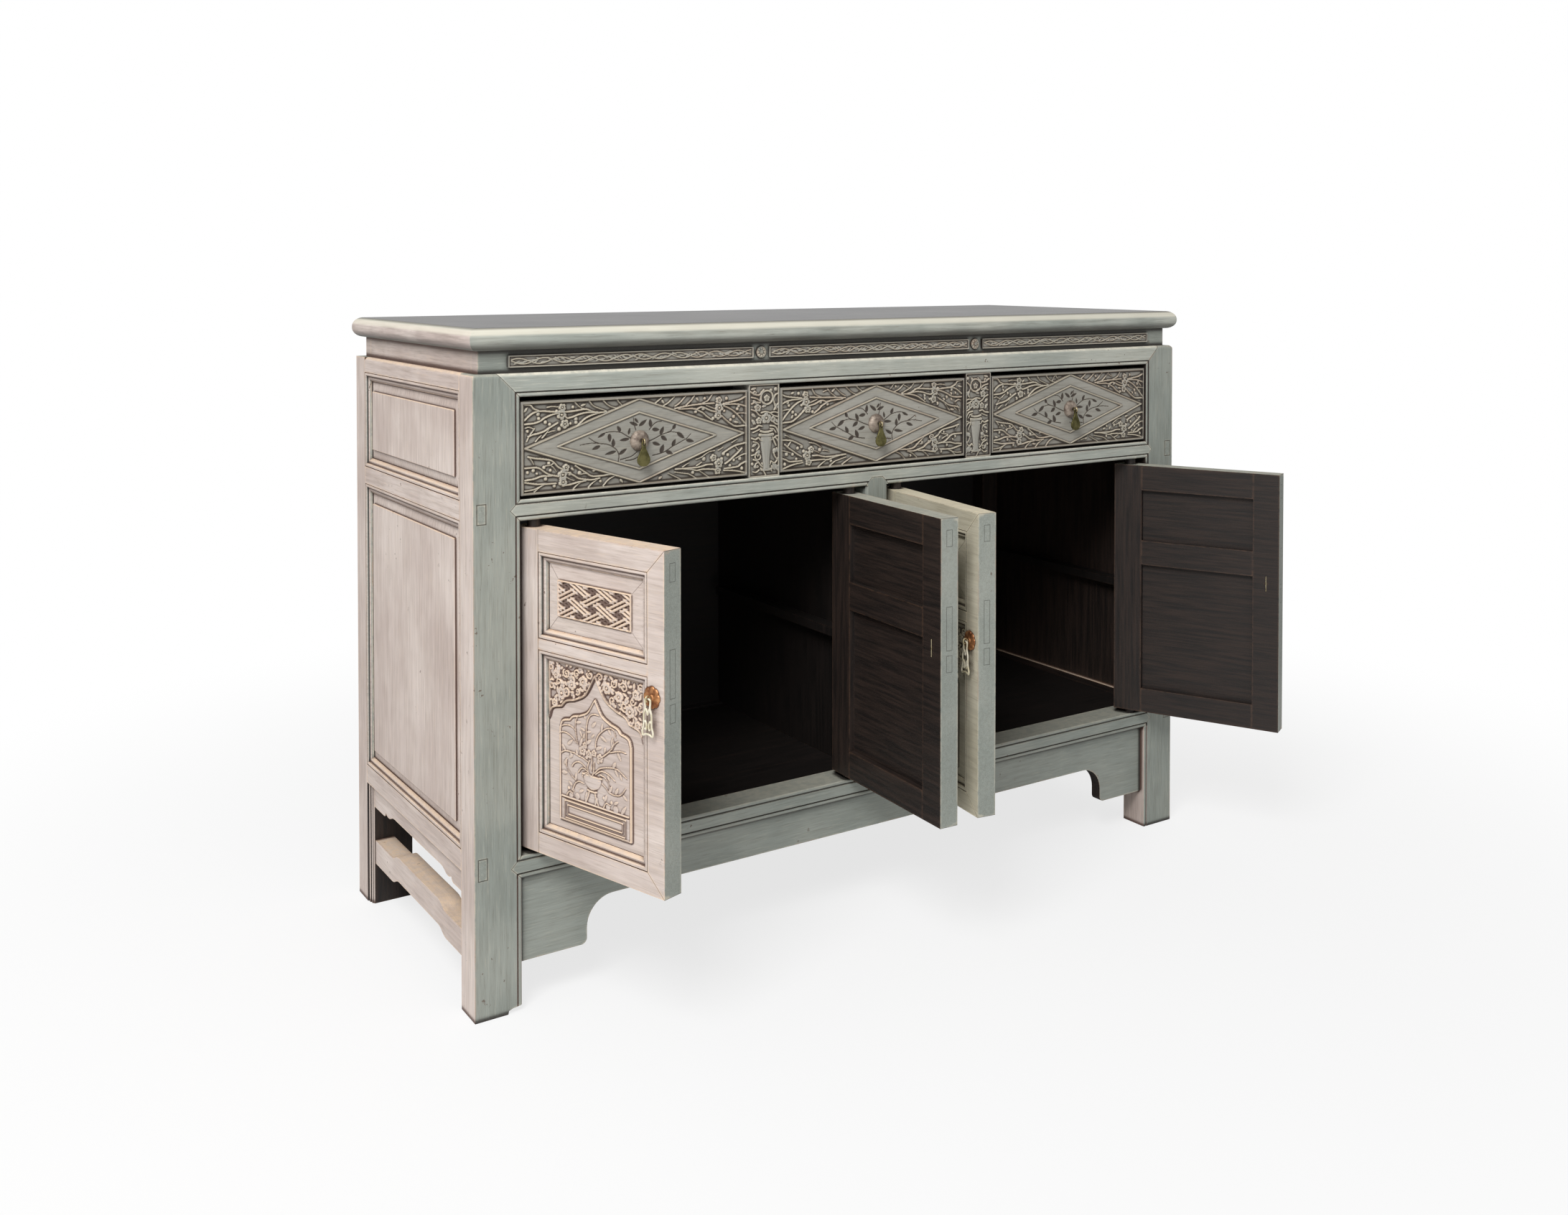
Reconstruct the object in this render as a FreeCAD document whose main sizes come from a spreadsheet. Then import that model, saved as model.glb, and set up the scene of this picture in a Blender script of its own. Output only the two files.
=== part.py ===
import FreeCAD, Part
import math
import os
import re
import Sketcher

# A Chinese painted sideboard: a mitred frame on four posts, three drawers in a row,
# and two pairs of doors that turn on wooden pivots. Millimetres, +Z up, front to -Y.
# It is drawn about its centre line (X), its front face (Y) and the floor (Z), and then
# shifted, so that the origin lies on the floor under the middle of the box that holds
# the sideboard with its doors standing open.

SIZES = {
    # the case as a whole
    "case_width": 1250, "case_depth": 470, "case_height": 870,
    "top_thickness": 29, "top_overhang": 5, "top_round": 13.5,
    "waist_height": 29, "waist_inset": 11.5, "waist_thickness": 22,
    "frieze_height": 14.5, "frieze_relief": 2, "frieze_gap": 6, "frieze_boss": 8,
    # posts and front rails
    "leg_width": 63, "front_leg_depth": 46, "rear_leg_depth": 56, "rear_leg_flat": 40,
    "bead": 5.5, "quirk": 1.5, "bead_dip": 1.5, "frame_round": 6, "mitre_depth": 12,
    "top_rail_height": 30, "drawer_opening_height": 130, "mid_rail_height": 27,
    "bottom_rail_height": 28, "bottom_rail_lift": 170,
    "centre_stile_width": 39, "stile_rise": 12, "stile_corner": 10, "stile_chamfer": 3,
    "divider_width": 50, "divider_recess": 2, "divider_rim": 5, "divider_sink": 2,
    # front apron
    "apron_recess": 9, "apron_thickness": 18, "apron_height": 52, "apron_foot_height": 111,
    "apron_foot_width": 95, "apron_cove": 38, "apron_corner": 8,
    "foot_chip_width": 19, "foot_chip_height": 8, "foot_chip_depth": 13,
    # sides, back and floor
    "side_rail_thickness": 28, "side_top_rail_height": 22, "side_mid_rail_height": 25,
    "side_low_rail_height": 27, "side_low_rail_lift": 8, "side_panel_thickness": 10,
    "side_border": 14, "side_border_rise": 2.5, "field_height": 3, "field_bevel": 1,
    "tenon_thickness": 12, "tenon_setback": 5,
    "side_apron_recess": 6, "side_apron_thickness": 14, "side_apron_height": 24,
    "scallop_drop": 9, "scallop_length": 96,
    "stretcher_lift": 60, "stretcher_height": 35, "stretcher_thickness": 28,
    "stretcher_recess": 7, "stretcher_hump": 8.5, "stretcher_foot": 74, "stretcher_sweep": 32,
    "back_rail_thickness": 28, "back_rail_recess": 12, "back_panel_thickness": 10,
    "floor_thickness": 12, "floor_drop": 3, "bearer_width": 36, "bearer_height": 18,
    "partition_thickness": 18, "shelf_bearer_height": 13, "shelf_bearer_width": 22,
    "shelf_lift": 208,
    "runner_thickness": 18, "runner_lap": 18, "runner_guide_height": 24,
    # mouldings round the panels
    "moulding_width": 13, "moulding_depth": 8,
    # doors
    "door_thickness": 28, "door_proud": 1.5, "door_edge_gap": 1.5, "door_meeting_gap": 2.5,
    "door_top_gap": 10, "door_bottom_gap": 6,
    "hinge_stile_width": 46, "pivot_inset": 22, "pivot_radius": 8.5, "pivot_clearance": 0.3,
    "top_pivot_length": 22, "bottom_pivot_length": 14,
    "lock_stile_flat": 28, "door_top_flat": 28, "door_mid_flat": 14, "door_bottom_flat": 26,
    "upper_panel_height": 84, "door_panel_thickness": 11, "door_border": 19,
    "door_border_rise": 2, "tablet_relief": 2.5, "spandrel_relief": 3, "plaque_relief": 3,
    "plaque_margin": 20, "plaque_foot": 12, "plaque_rim": 3, "plinth_height": 25,
    "plinth_relief": 1,
    # the angle that each door stands open at
    "left_outer_angle": 73, "left_inner_angle": 87, "right_inner_angle": 97.5,
    "right_outer_angle": 116,
    # drawers
    "drawer_side_gap": 2.5, "drawer_top_gap": 7, "drawer_bottom_gap": 4,
    "drawer_recess": 2, "drawer_front_thickness": 22, "drawer_relief": 1.6,
    "drawer_rim": 4, "rhombus_line": 2.6, "rhombus_margin": 3, "inner_rhombus_gap": 17,
    "drawer_back_gap": 30, "drawer_box_height": 100, "drawer_side_thickness": 12,
    "drawer_bottom_thickness": 8, "drawer_bottom_lift": 6, "drawer_box_inset": 1,
    "slide_clearance": 0.3,
    # pulls: a split pin holds each one
    "pin_width": 3.2, "pin_thickness": 2.6, "pin_clearance": 0.3, "ring_radius": 3.4,
    "ring_wire": 1.1,
    "tail_length": 13, "tail_width": 2.4, "tail_thickness": 1.2,
    "rosette_radius": 13.5, "rosette_height": 3, "rosette_bevel": 1.6, "rosette_notch": 2.5,
    "boss_radius": 14, "boss_height": 8, "boss_bevel": 5.5, "boss_crown": 3,
    "pull_drop": 23, "pull_setback": 20, "pull_length": 43, "pull_width": 18,
    "pull_wire": 1.25, "ring_clearance": 0.3,
    "drop_length": 33, "drop_width": 19, "drop_thickness": 2.4, "drop_hole": 1.9,
    "drop_eye": 3.4,
    # what a cut runs past the wood that it is made in
    "overrun": 5,
}

DERIVED = {
    "frame_top": "case_height - top_thickness - waist_height",
    "drawer_opening_top": "frame_top - top_rail_height",
    "mid_rail_top": "drawer_opening_top - drawer_opening_height",
    "door_opening_top": "mid_rail_top - mid_rail_height",
    "door_opening_bottom": "bottom_rail_lift + bottom_rail_height",
    "door_opening_height": "door_opening_top - door_opening_bottom",
    "half_width": "case_width / 2",
    "half_opening": "half_width - leg_width",
    "side_depth": "case_depth - rear_leg_flat",
    "side_inner": "half_width - side_rail_thickness",
    "rear_leg_front": "case_depth - rear_leg_depth",
    "back_rail_front": "case_depth - back_rail_recess - back_rail_thickness",
    "back_panel_front": "case_depth - back_rail_recess - back_rail_thickness / 2",
    "floor_top": "door_opening_bottom - floor_drop",
    "side_mid_rail_top": "door_opening_top + side_mid_rail_height",
    "side_low_rail_bottom": "bottom_rail_lift + side_low_rail_lift",
    "side_low_rail_top": "side_low_rail_bottom + side_low_rail_height",
    "shelf_level": "floor_top + shelf_lift",
    "panel_inner": "half_width - moulding_depth - side_panel_thickness",
    "drawer_opening": "(2 * half_opening - 2 * divider_width) / 3",
    "drawer_pitch": "drawer_opening + divider_width",
    "drawer_width": "drawer_opening - 2 * drawer_side_gap",
    "drawer_low": "mid_rail_top + drawer_bottom_gap",
    "drawer_high": "drawer_opening_top - drawer_top_gap",
    "drawer_middle": "(drawer_low + drawer_high) / 2",
    "drawer_back": "drawer_recess + drawer_front_thickness",
    "drawer_box_depth": "back_panel_front - drawer_back_gap - drawer_back",
    "runner_top": "drawer_low - slide_clearance",
    "door_face": "door_thickness / 2",
    "pivot_depth": "door_face - door_proud",
    "outer_pivot": "half_opening - door_edge_gap - pivot_inset",
    "inner_pivot": "centre_stile_width / 2 + door_edge_gap + pivot_inset",
    "door_width": "(half_opening - centre_stile_width / 2 - 2 * door_edge_gap"
                  " - door_meeting_gap) / 2",
    "door_reach": "door_width - pivot_inset",
    "door_low": "door_opening_bottom + door_bottom_gap",
    "door_high": "door_opening_top - door_top_gap",
    "stile_line": "hinge_stile_width - pivot_inset",
    "lock_line": "door_reach - lock_stile_flat",
    "ring_high": "door_high - door_top_flat",
    "upper_low": "ring_high - moulding_width - upper_panel_height",
    "mid_flat_top": "upper_low - moulding_width",
    "mid_flat_bottom": "mid_flat_top - door_mid_flat",
    "ring_low": "door_low + door_bottom_flat",
    "pull_place": "door_reach - pull_setback",
    "pull_level": "mid_flat_bottom - pull_drop",
    "panel_face": "door_face - moulding_depth",
    "ring_stand": "ring_radius + ring_wire",
}

doc = FreeCAD.newDocument("Sideboard")
sheet = doc.addObject("Spreadsheet::Sheet", "Sizes")
for row, (alias, size) in enumerate(SIZES.items(), start=1):
    sheet.set(f"A{row}", alias)
    sheet.set(f"B{row}", str(size))
    sheet.setAlias(f"B{row}", alias)
doc.recompute()

WORD = re.compile(r"[a-z]+(?:_[a-z]+)*")
LEFT, RIGHT = -1, 1
# small round things are drawn as polygons
BOSS_SIDES, RING_SIDES, WIRE_SIDES = 18, 10, 6
# two places nearer than this are the same one
TOUCH = 0.01
# how far the middle of a quarter round lies in from its corner, along each side
ROUND_SHARE = 1 - math.sqrt(0.5)
nodes = []


def formula(text):
    """An expression on the sheet's cells from one in plain size names."""
    def look_up(match):
        word = match.group()
        if word in SIZES:
            return "Sizes." + word
        if word in DERIVED:
            return "(" + formula(DERIVED[word]) + ")"
        return word
    return WORD.sub(look_up, str(text))


def measure(text):
    """The value of a formula in plain size names."""
    found = sheet.evalExpression(formula(text))
    return float(getattr(found, "Value", found))


def bind(thing, **properties):
    """Ties properties to formulas; a double underscore stands for a dot."""
    for name, text in properties.items():
        thing.setExpression(name.replace("__", "."), formula(text))


def place(thing, x="0", y="0", z="0", turn=None):
    """Ties a placement to formulas, with an optional turn about the vertical."""
    bind(thing, Placement__Base__x=x, Placement__Base__y=y, Placement__Base__z=z)
    if turn is not None:
        bind(thing, Placement__Rotation__Angle=turn)


def through(first, middle, last):
    """The circle arc through three points, and whether it runs from first to last."""
    ax, ay = first
    bx, by = middle
    cx, cy = last
    double_area = 2 * (ax * (by - cy) + bx * (cy - ay) + cx * (ay - by))
    squares = [px * px + py * py for px, py in (first, middle, last)]
    ux = (squares[0] * (by - cy) + squares[1] * (cy - ay) + squares[2] * (ay - by))
    uy = (squares[0] * (cx - bx) + squares[1] * (ax - cx) + squares[2] * (bx - ax))
    ux, uy = ux / double_area, uy / double_area
    circle = Part.Circle(FreeCAD.Vector(ux, uy, 0), FreeCAD.Vector(0, 0, 1),
                         math.hypot(ax - ux, ay - uy))
    forwards = double_area > 0
    start, end = (first, last) if forwards else (last, first)
    angles = [math.atan2(py - uy, px - ux) for px, py in (start, end)]
    if angles[1] < angles[0]:
        angles[1] += 2 * math.pi
    return Part.ArcOfCircle(circle, angles[0], angles[1]), forwards


def outline(sketch, corners):
    """Draws a closed outline. A corner is a pair of formulas; one with four starts an
    arc to the next corner, through the point that its last two formulas give."""
    spots = [(measure(corner[0]), measure(corner[1])) for corner in corners]
    ends = []
    for index, corner in enumerate(corners):
        here, there = spots[index], spots[(index + 1) % len(spots)]
        if len(corner) == 2:
            side = sketch.addGeometry(Part.LineSegment(FreeCAD.Vector(*here, 0),
                                                       FreeCAD.Vector(*there, 0)))
            ends.append((side, 1, 2))
            continue
        middle = (measure(corner[2]), measure(corner[3]))
        arc, forwards = through(here, middle, there)
        side = sketch.addGeometry(arc)
        ends.append((side, 1, 2) if forwards else (side, 2, 1))
        point = sketch.addGeometry(Part.Point(FreeCAD.Vector(*middle, 0)), True)
        pin(sketch, point, 1, corner[2], corner[3], middle)
        sketch.addConstraint(Sketcher.Constraint("PointOnObject", point, 1, side))
    for index, (side, start, end) in enumerate(ends):
        after, after_start, _ = ends[(index + 1) % len(ends)]
        sketch.addConstraint(Sketcher.Constraint("Coincident", side, end, after, after_start))
        pin(sketch, side, start, corners[index][0], corners[index][1], spots[index])


def chain(shares, spot):
    """Corners from a table of shares; spot turns a pair of shares into two formulas."""
    return [sum((spot(*pair) for pair in zip(row[::2], row[1::2])), ()) for row in shares]


def backwards(corners):
    """The same corners the other way round, so that each arc starts at its other end."""
    return [corner[:2] + (corners[index - 1][2:] if index > 0 else ())
            for index, corner in reversed(list(enumerate(corners)))]


def pin(sketch, element, end, across, up, spot):
    """Holds one end of a sketch element at a pair of formulas."""
    for kind, text, value in (("DistanceX", across, spot[0]), ("DistanceY", up, spot[1])):
        index = sketch.addConstraint(Sketcher.Constraint(kind, -1, 1, element, end, value))
        sketch.setExpression(f"Constraints[{index}]", formula(text))


def circle_outline(sketch, across, up, radius):
    """Draws a full circle."""
    spot = (measure(across), measure(up))
    ring = sketch.addGeometry(Part.Circle(FreeCAD.Vector(*spot, 0),
                                          FreeCAD.Vector(0, 0, 1), measure(radius)))
    pin(sketch, ring, 3, across, up, spot)
    index = sketch.addConstraint(Sketcher.Constraint("Radius", ring, measure(radius)))
    sketch.setExpression(f"Constraints[{index}]", formula(radius))


def sketch_on(body, plane, loops, start="0"):
    """A sketch on one of the body's own planes, moved along that plane's own axis."""
    sketch = body.newObject("Sketcher::SketchObject", body.Name + "Sketch")
    origin_plane = next(feature for feature in body.Origin.OriginFeatures
                        if feature.Role == plane + "_Plane")
    sketch.AttachmentSupport = [(origin_plane, "")]
    sketch.MapMode = "FlatFace"
    sign = "-1" if plane == "XZ" else "1"
    sketch.setExpression("AttachmentOffset.Base.z", formula(f"{sign} * ({start})"))
    for loop in loops:
        if loop[0] == "circle":
            circle_outline(sketch, *loop[1:])
        else:
            outline(sketch, loop)
    return sketch


def add(body, plane, loops, start, length):
    """Adds wood inside the loops, from start onwards along the plane's axis."""
    pad = body.newObject("PartDesign::Pad", body.Name + "Pad")
    pad.Profile = sketch_on(body, plane, loops, start)
    pad.Reversed = plane == "XZ"
    bind(pad, Length=length)
    return pad


def cut(body, plane, loops, start, length):
    """Cuts wood away inside the loops, from start onwards along the plane's axis."""
    pocket = body.newObject("PartDesign::Pocket", body.Name + "Pocket")
    pocket.Profile = sketch_on(body, plane, loops, start)
    pocket.Reversed = plane != "XZ"
    bind(pocket, Length=length)
    before = pocket.BaseFeature.Shape.Volume if pocket.BaseFeature else 0
    doc.recompute()
    if not pocket.Shape.Volume < before:
        raise RuntimeError(body.Label + ": a cut removes nothing")
    return pocket


def sweep(body, plane, loop, level, section_plane, section, outward):
    """Adds a section swept along a closed loop of straight runs, mitred at its corners.
    The loop lies on its plane at level, the section on its own plane at outward."""
    path = sketch_on(body, plane, [loop], level)
    profile = sketch_on(body, section_plane, [section], outward)
    pipe = body.newObject("PartDesign::AdditivePipe", body.Name + "Pipe")
    pipe.Profile = (profile, [""])
    pipe.Spine = (path, [f"Edge{index + 1}" for index in range(len(loop))])
    pipe.Transition = "Right corner"


def slope_border(body, sections, width, rise):
    """Cuts the edges of a low block to slopes that meet in mitres. Each section gives a
    plane across the block, its corners' maker, the block's two edges there, and the
    start and length of the cut."""
    for plane, spot, low, high, start, length in sections:
        wedges = [[spot(edge, "0"), spot(edge, rise), spot(f"{edge} + {way} * ({width})", rise)]
                  for edge, way in ((low, 1), (high, -1))]
        cut(body, plane, wedges, start, length)


def new_body(label):
    body = doc.addObject("PartDesign::Body", "".join(word.title() for word in label.split("_")))
    body.Label = label
    return body


def box(label, x, y, z, length, width, height):
    """A plain board: its low corner and its three sizes."""
    board = doc.addObject("Part::Box", "".join(word.title() for word in label.split("_")))
    board.Label = label
    place(board, x, y, z)
    bind(board, Length=length, Width=width, Height=height)
    return board


def rectangle(low_x, high_x, low_y, high_y):
    return [(low_x, low_y), (high_x, low_y), (high_x, high_y), (low_x, high_y)]


def polygon(sides, across, up, radius):
    """Corners of a regular polygon with a flat side at the top."""
    half = 180 / sides
    return [(f"{across} + {radius} * sin({turn * 2 * half - half})",
             f"{up} + {radius} * cos({turn * 2 * half - half})") for turn in range(sides)]


def group(label, members):
    """Separate solids that one node holds."""
    whole = doc.addObject("Part::Compound", "".join(word.title() for word in label.split("_")))
    whole.Links = members
    whole.Label = label
    return whole


def keep(node, door=None):
    """Puts a finished sub-part in the shifted frame; a door's also stands open."""
    if door is None:
        place(node, f"-({SHIFT_X})", f"-({SHIFT_Y})")
    else:
        side, pivot, opening = door
        place(node, f"{side} * {pivot} - ({SHIFT_X})", f"pivot_depth - ({SHIFT_Y})",
              turn=f"{door_swing(door)} * {opening}")
    nodes.append(node)


def door_swing(door):
    """+1 where opening turns the door anticlockwise, seen from above."""
    return -1 if hinged_left(door) else 1


def hinged_left(door):
    side, pivot, _ = door
    return (side == LEFT) == (pivot == "outer_pivot")


# Each door: the side of the cupboard, the pivot's place and the angle it stands at.
DOORS = {
    "left_outer_door": (LEFT, "outer_pivot", "left_outer_angle"),
    "left_inner_door": (LEFT, "inner_pivot", "left_inner_angle"),
    "right_inner_door": (RIGHT, "inner_pivot", "right_inner_angle"),
    "right_outer_door": (RIGHT, "outer_pivot", "right_outer_angle"),
}
DRAWERS = {"left_drawer": LEFT, "middle_drawer": 0, "right_drawer": RIGHT}


def side_reach(opening):
    """How far an open outer door's free corner stands out from the centre line."""
    return f"outer_pivot - door_reach * cos({opening}) + door_face * sin({opening})"


def front_reach(opening):
    """How far an open door's free corner stands out in front of the case."""
    return f"door_reach * sin({opening}) + door_face * abs(cos({opening})) - pivot_depth"


SHIFT_X = (f"(max(half_width + top_overhang; {side_reach('right_outer_angle')})"
           f" - max(half_width + top_overhang; {side_reach('left_outer_angle')})) / 2")
SHIFT_Y = ("(case_depth + top_overhang - max(top_overhang; "
           + "; ".join(front_reach(door[2]) for door in DOORS.values()) + ")) / 2")


def bead_along(edge, inward, face):
    """Corners of a small round bead on an edge, from its quirk to the edge itself.
    edge is the place of the edge, inward +1 or -1 the way to the quirk, and face
    gives a corner from a place along the face and a depth under it."""
    return [
        face(f"{edge} + {inward} * (bead + quirk)", "0"),
        face(f"{edge} + {inward} * bead", "bead_dip")
        + face(f"{edge} + {inward} * bead / 2", "0"),
        face(edge, "bead_dip"),
    ]


# Front posts: plain outside, with a bead on the inner front edge, mitred for the rails.

def rail_mitres(side):
    """What the three rails take out of a post's front layer, seen from the front."""
    inner = f"{side} * half_opening"
    spears = []
    for low, high in (("door_opening_top", "mid_rail_top"),
                      ("bottom_rail_lift", "door_opening_bottom")):
        tip = f"{side} * (half_opening + ({high} - ({low})) / 2)"
        spears.append([(inner, low), (tip, f"(({low}) + ({high})) / 2"), (inner, high)])
    top = [(inner, "drawer_opening_top"), (inner, "frame_top"),
           (f"{side} * (half_opening + top_rail_height)", "frame_top")]
    return spears + [top]


def tenon_outline(side, low, high):
    outer = f"{side} * (half_width - tenon_setback)"
    inner = f"{side} * (half_width - tenon_setback - tenon_thickness)"
    return rectangle(outer, inner, low, high)


def front_leg(name, side):
    body = new_body(name)

    def face(place_along, depth):
        return (f"{side} * ({place_along})", depth)

    section = [(f"{side} * half_width", "0")]
    section += bead_along("half_opening", 1, face)
    section += [(f"{side} * half_opening", "front_leg_depth"),
                (f"{side} * half_width", "front_leg_depth")]
    add(body, "XY", [section], "0", "frame_top")
    doc.recompute()
    outer = measure(f"{side} * half_width")
    top = measure("frame_top")
    bead_end = measure("half_opening + bead")
    edges = edges_where(body, lambda spot: abs(spot.z - top) < TOUCH
                        and (abs(spot.x - outer) < TOUCH
                             or (abs(spot.y) < TOUCH and abs(spot.x) > bead_end)))
    fillet(body, edges, "frame_round")
    cut(body, "XZ", rail_mitres(side), "0", "mitre_depth")
    cut(body, "XZ", [tenon_outline(side, "door_opening_top", "side_mid_rail_top"),
                     tenon_outline(side, "side_low_rail_bottom", "side_low_rail_top")],
        "0", "front_leg_depth")
    if side == LEFT:
        cut(body, "XZ", [foot_chip(side)], "0", "foot_chip_depth")
    return body


def foot_chip(side):
    """A corner of the foot that has broken away, in front at its inner edge."""
    inner, width = f"{side} * half_opening", f"{side} * foot_chip_width"
    return chain(CHIP_SHARES, lambda across, up: (f"{inner} + {across} * {width}",
                                                  f"{up} * foot_chip_height"))


# Corners of the chip, as shares of its width and of its height.
CHIP_SHARES = ((0, 0), (1, 0), (0.94, 0.55), (0.66, 0.8), (0.3, 0.86), (0, 1))


def edges_where(body, wanted):
    """The names of the edges whose centre is wanted."""
    return [f"Edge{index}" for index, edge in enumerate(body.Tip.Shape.Edges, start=1)
            if wanted(edge.CenterOfMass)]


def fillet(body, edges, radius):
    return dress(body, "Fillet", edges, Radius=radius)


def dress(body, kind, edges, **sizes):
    """A fillet or a chamfer on some of the body's edges."""
    base = body.Tip
    dressing = body.newObject("PartDesign::" + kind, body.Name + kind)
    dressing.Base = (base, edges)
    bind(dressing, **sizes)
    doc.recompute()
    return dressing


# Rear posts: two reeds run down the edge below the side frame, and higher up the
# post is rebated for the side rails and panels.

REED_SHARES = (0.14, 0.5, 0.86)


def rear_leg(name, side):
    body = new_body(name)
    outer, inner = f"{side} * half_width", f"{side} * half_opening"
    rebate = f"{side} * side_inner"
    strip = "(rear_leg_depth - rear_leg_flat)"

    def reed(share_near, share_far, steps):
        sink = f"{side} * (half_width - {steps} * bead_dip)"
        crest = f"{side} * (half_width - ({steps} - 1) * bead_dip)"
        near, far = (f"side_depth - {share} * {strip}" for share in (share_near, share_far))
        return [(sink, near, crest, f"(({near}) + ({far})) / 2"), (sink, far)]

    foot = [(outer, "case_depth"), (outer, "side_depth")]
    foot += reed(REED_SHARES[0], REED_SHARES[1], 2)
    foot += reed(REED_SHARES[1], REED_SHARES[2], 3)
    foot += [(f"{side} * (half_width - 4 * bead_dip)", "rear_leg_front"),
             (inner, "rear_leg_front"), (inner, "case_depth")]
    post = [(outer, "case_depth"), (outer, "side_depth"), (rebate, "side_depth"),
            (rebate, "rear_leg_front"), (inner, "rear_leg_front"), (inner, "case_depth")]
    add(body, "XY", [foot], "0", "side_low_rail_bottom")
    add(body, "XY", [post], "side_low_rail_bottom", "frame_top - side_low_rail_bottom")
    doc.recompute()
    return body


for name, side in (("front_left_leg", LEFT), ("front_right_leg", RIGHT)):
    keep(front_leg(name, side))
for name, side in (("rear_left_leg", LEFT), ("rear_right_leg", RIGHT)):
    keep(rear_leg(name, side))


# Front rails: beads on their edges, and mitred ends let into the posts.

def rail_face(place_along, depth):
    return (depth, place_along)


def front_rail(name, low, high, section, mitre):
    """A rail between the posts. Its front layer keeps the mitres' shape at the ends,
    and behind it the rail stops at the posts."""
    body = new_body(name)
    reach = f"(half_opening + {mitre[0]})"
    add(body, "YZ", [section], f"-{reach}", f"2 * {reach}")
    waste = []
    for side in (LEFT, RIGHT):
        post, end = f"{side} * half_opening", f"{side} * {reach}"
        for corner, tip in mitre[1]:
            waste.append([(post, corner), (end, corner), (end, tip)])
    doc.recompute()
    cut(body, "XZ", waste, "0", "mitre_depth")
    behind = [rectangle(f"{side} * half_opening", f"{side} * {reach}", low, high)
              for side in (LEFT, RIGHT)]
    cut(body, "XZ", behind, "mitre_depth", "front_leg_depth - mitre_depth")
    return body


def spear(low, high):
    """A pointed end: how far it reaches past the post's edge, and its waste."""
    middle = f"(({low}) + ({high})) / 2"
    return (f"(({high}) - ({low})) / 2", [(low, middle), (high, middle)])


def stile_end(level, way):
    """The centre stile's cut-cornered end, let into a rail from the given level."""
    half = "centre_stile_width / 2"
    shoulder = f"{level} + {way} * (stile_rise - stile_corner)"
    tip = f"{level} + {way} * stile_rise"
    return [(f"-{half}", level), (f"-{half}", shoulder), (f"-({half} - stile_corner)", tip),
            (f"{half} - stile_corner", tip), (half, shoulder), (half, level)]


def beaded_section(low, high):
    section = bead_along(low, 1, rail_face)[::-1]
    low_arc = (section[0] + rail_face(f"{low} + bead / 2", "0"), section[1][:2], section[2])
    high_arc = bead_along(high, -1, rail_face)
    return [*low_arc, *high_arc, ("front_leg_depth", high), ("front_leg_depth", low)]


def top_rail():
    low, high = "drawer_opening_top", "frame_top"
    lower = bead_along(low, 1, rail_face)[::-1]
    diagonal = f"frame_round * {ROUND_SHARE}"
    section = [lower[0] + rail_face(f"{low} + bead / 2", "0"), lower[1][:2], lower[2],
               ("0", f"{high} - frame_round", diagonal, f"{high} - {diagonal}"),
               ("frame_round", high), ("front_leg_depth", high), ("front_leg_depth", low)]
    return front_rail("front_top_rail", low, high, section,
                      ("top_rail_height", [(low, high)]))


def pivot_sockets(body, level, depth):
    """Sockets for the doors' pivots, from a level downwards or upwards."""
    radius = "pivot_radius + pivot_clearance"
    holes = [("circle", f"{side} * {pivot}", "pivot_depth", radius)
             for side in (LEFT, RIGHT) for pivot in ("outer_pivot", "inner_pivot")]
    cut(body, "XY", holes, level, depth)


def mid_rail():
    low, high = "door_opening_top", "mid_rail_top"
    body = front_rail("front_mid_rail", low, high, beaded_section(low, high), spear(low, high))
    cut(body, "XZ", [stile_end(low, 1)], "0", "mitre_depth")
    pivot_sockets(body, low, "top_pivot_length - door_top_gap + pivot_clearance")
    return body


def bottom_rail():
    low, high = "bottom_rail_lift", "door_opening_bottom"
    body = front_rail("front_bottom_rail", low, high, beaded_section(low, high),
                      spear(low, high))
    cut(body, "XZ", [stile_end(high, -1)], "0", "mitre_depth")
    depth = "(bottom_pivot_length - door_bottom_gap + pivot_clearance)"
    pivot_sockets(body, f"{high} - {depth}", depth)
    return body


def centre_stile():
    body = new_body("centre_stile")
    half = "centre_stile_width / 2"
    section = [(f"-{half}", "front_leg_depth"), (f"-{half}", "stile_chamfer"),
               (f"-({half} - stile_chamfer)", "0"), (f"{half} - stile_chamfer", "0"),
               (half, "stile_chamfer"), (half, "front_leg_depth")]
    add(body, "XY", [section], "door_opening_bottom", "door_opening_height")
    add(body, "XZ", [stile_end("door_opening_top", 1)], "0", "mitre_depth")
    add(body, "XZ", [stile_end("door_opening_bottom", -1)], "0", "mitre_depth")
    return body


for rail in (top_rail(), mid_rail(), bottom_rail(), centre_stile()):
    keep(rail)


# Drawer dividers: short carved boards, with a rim left round the carved field.

def drawer_divider(name, side):
    body = new_body(name)
    centre = f"{side} * drawer_pitch / 2"
    half = "divider_width / 2"
    board = rectangle(f"{centre} - {half}", f"{centre} + {half}", "mid_rail_top",
                      "drawer_opening_top")
    field = rectangle(f"{centre} - ({half} - divider_rim)", f"{centre} + ({half} - divider_rim)",
                      "mid_rail_top + divider_rim", "drawer_opening_top - divider_rim")
    add(body, "XZ", [board], "divider_recess", "front_leg_depth - divider_recess")
    doc.recompute()
    cut(body, "XZ", [field], "divider_recess", "divider_sink")
    return body


for name, side in (("left_drawer_divider", LEFT), ("right_drawer_divider", RIGHT)):
    keep(drawer_divider(name, side))


# The front apron: one board, cut to a bracket foot beside each post.

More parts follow.
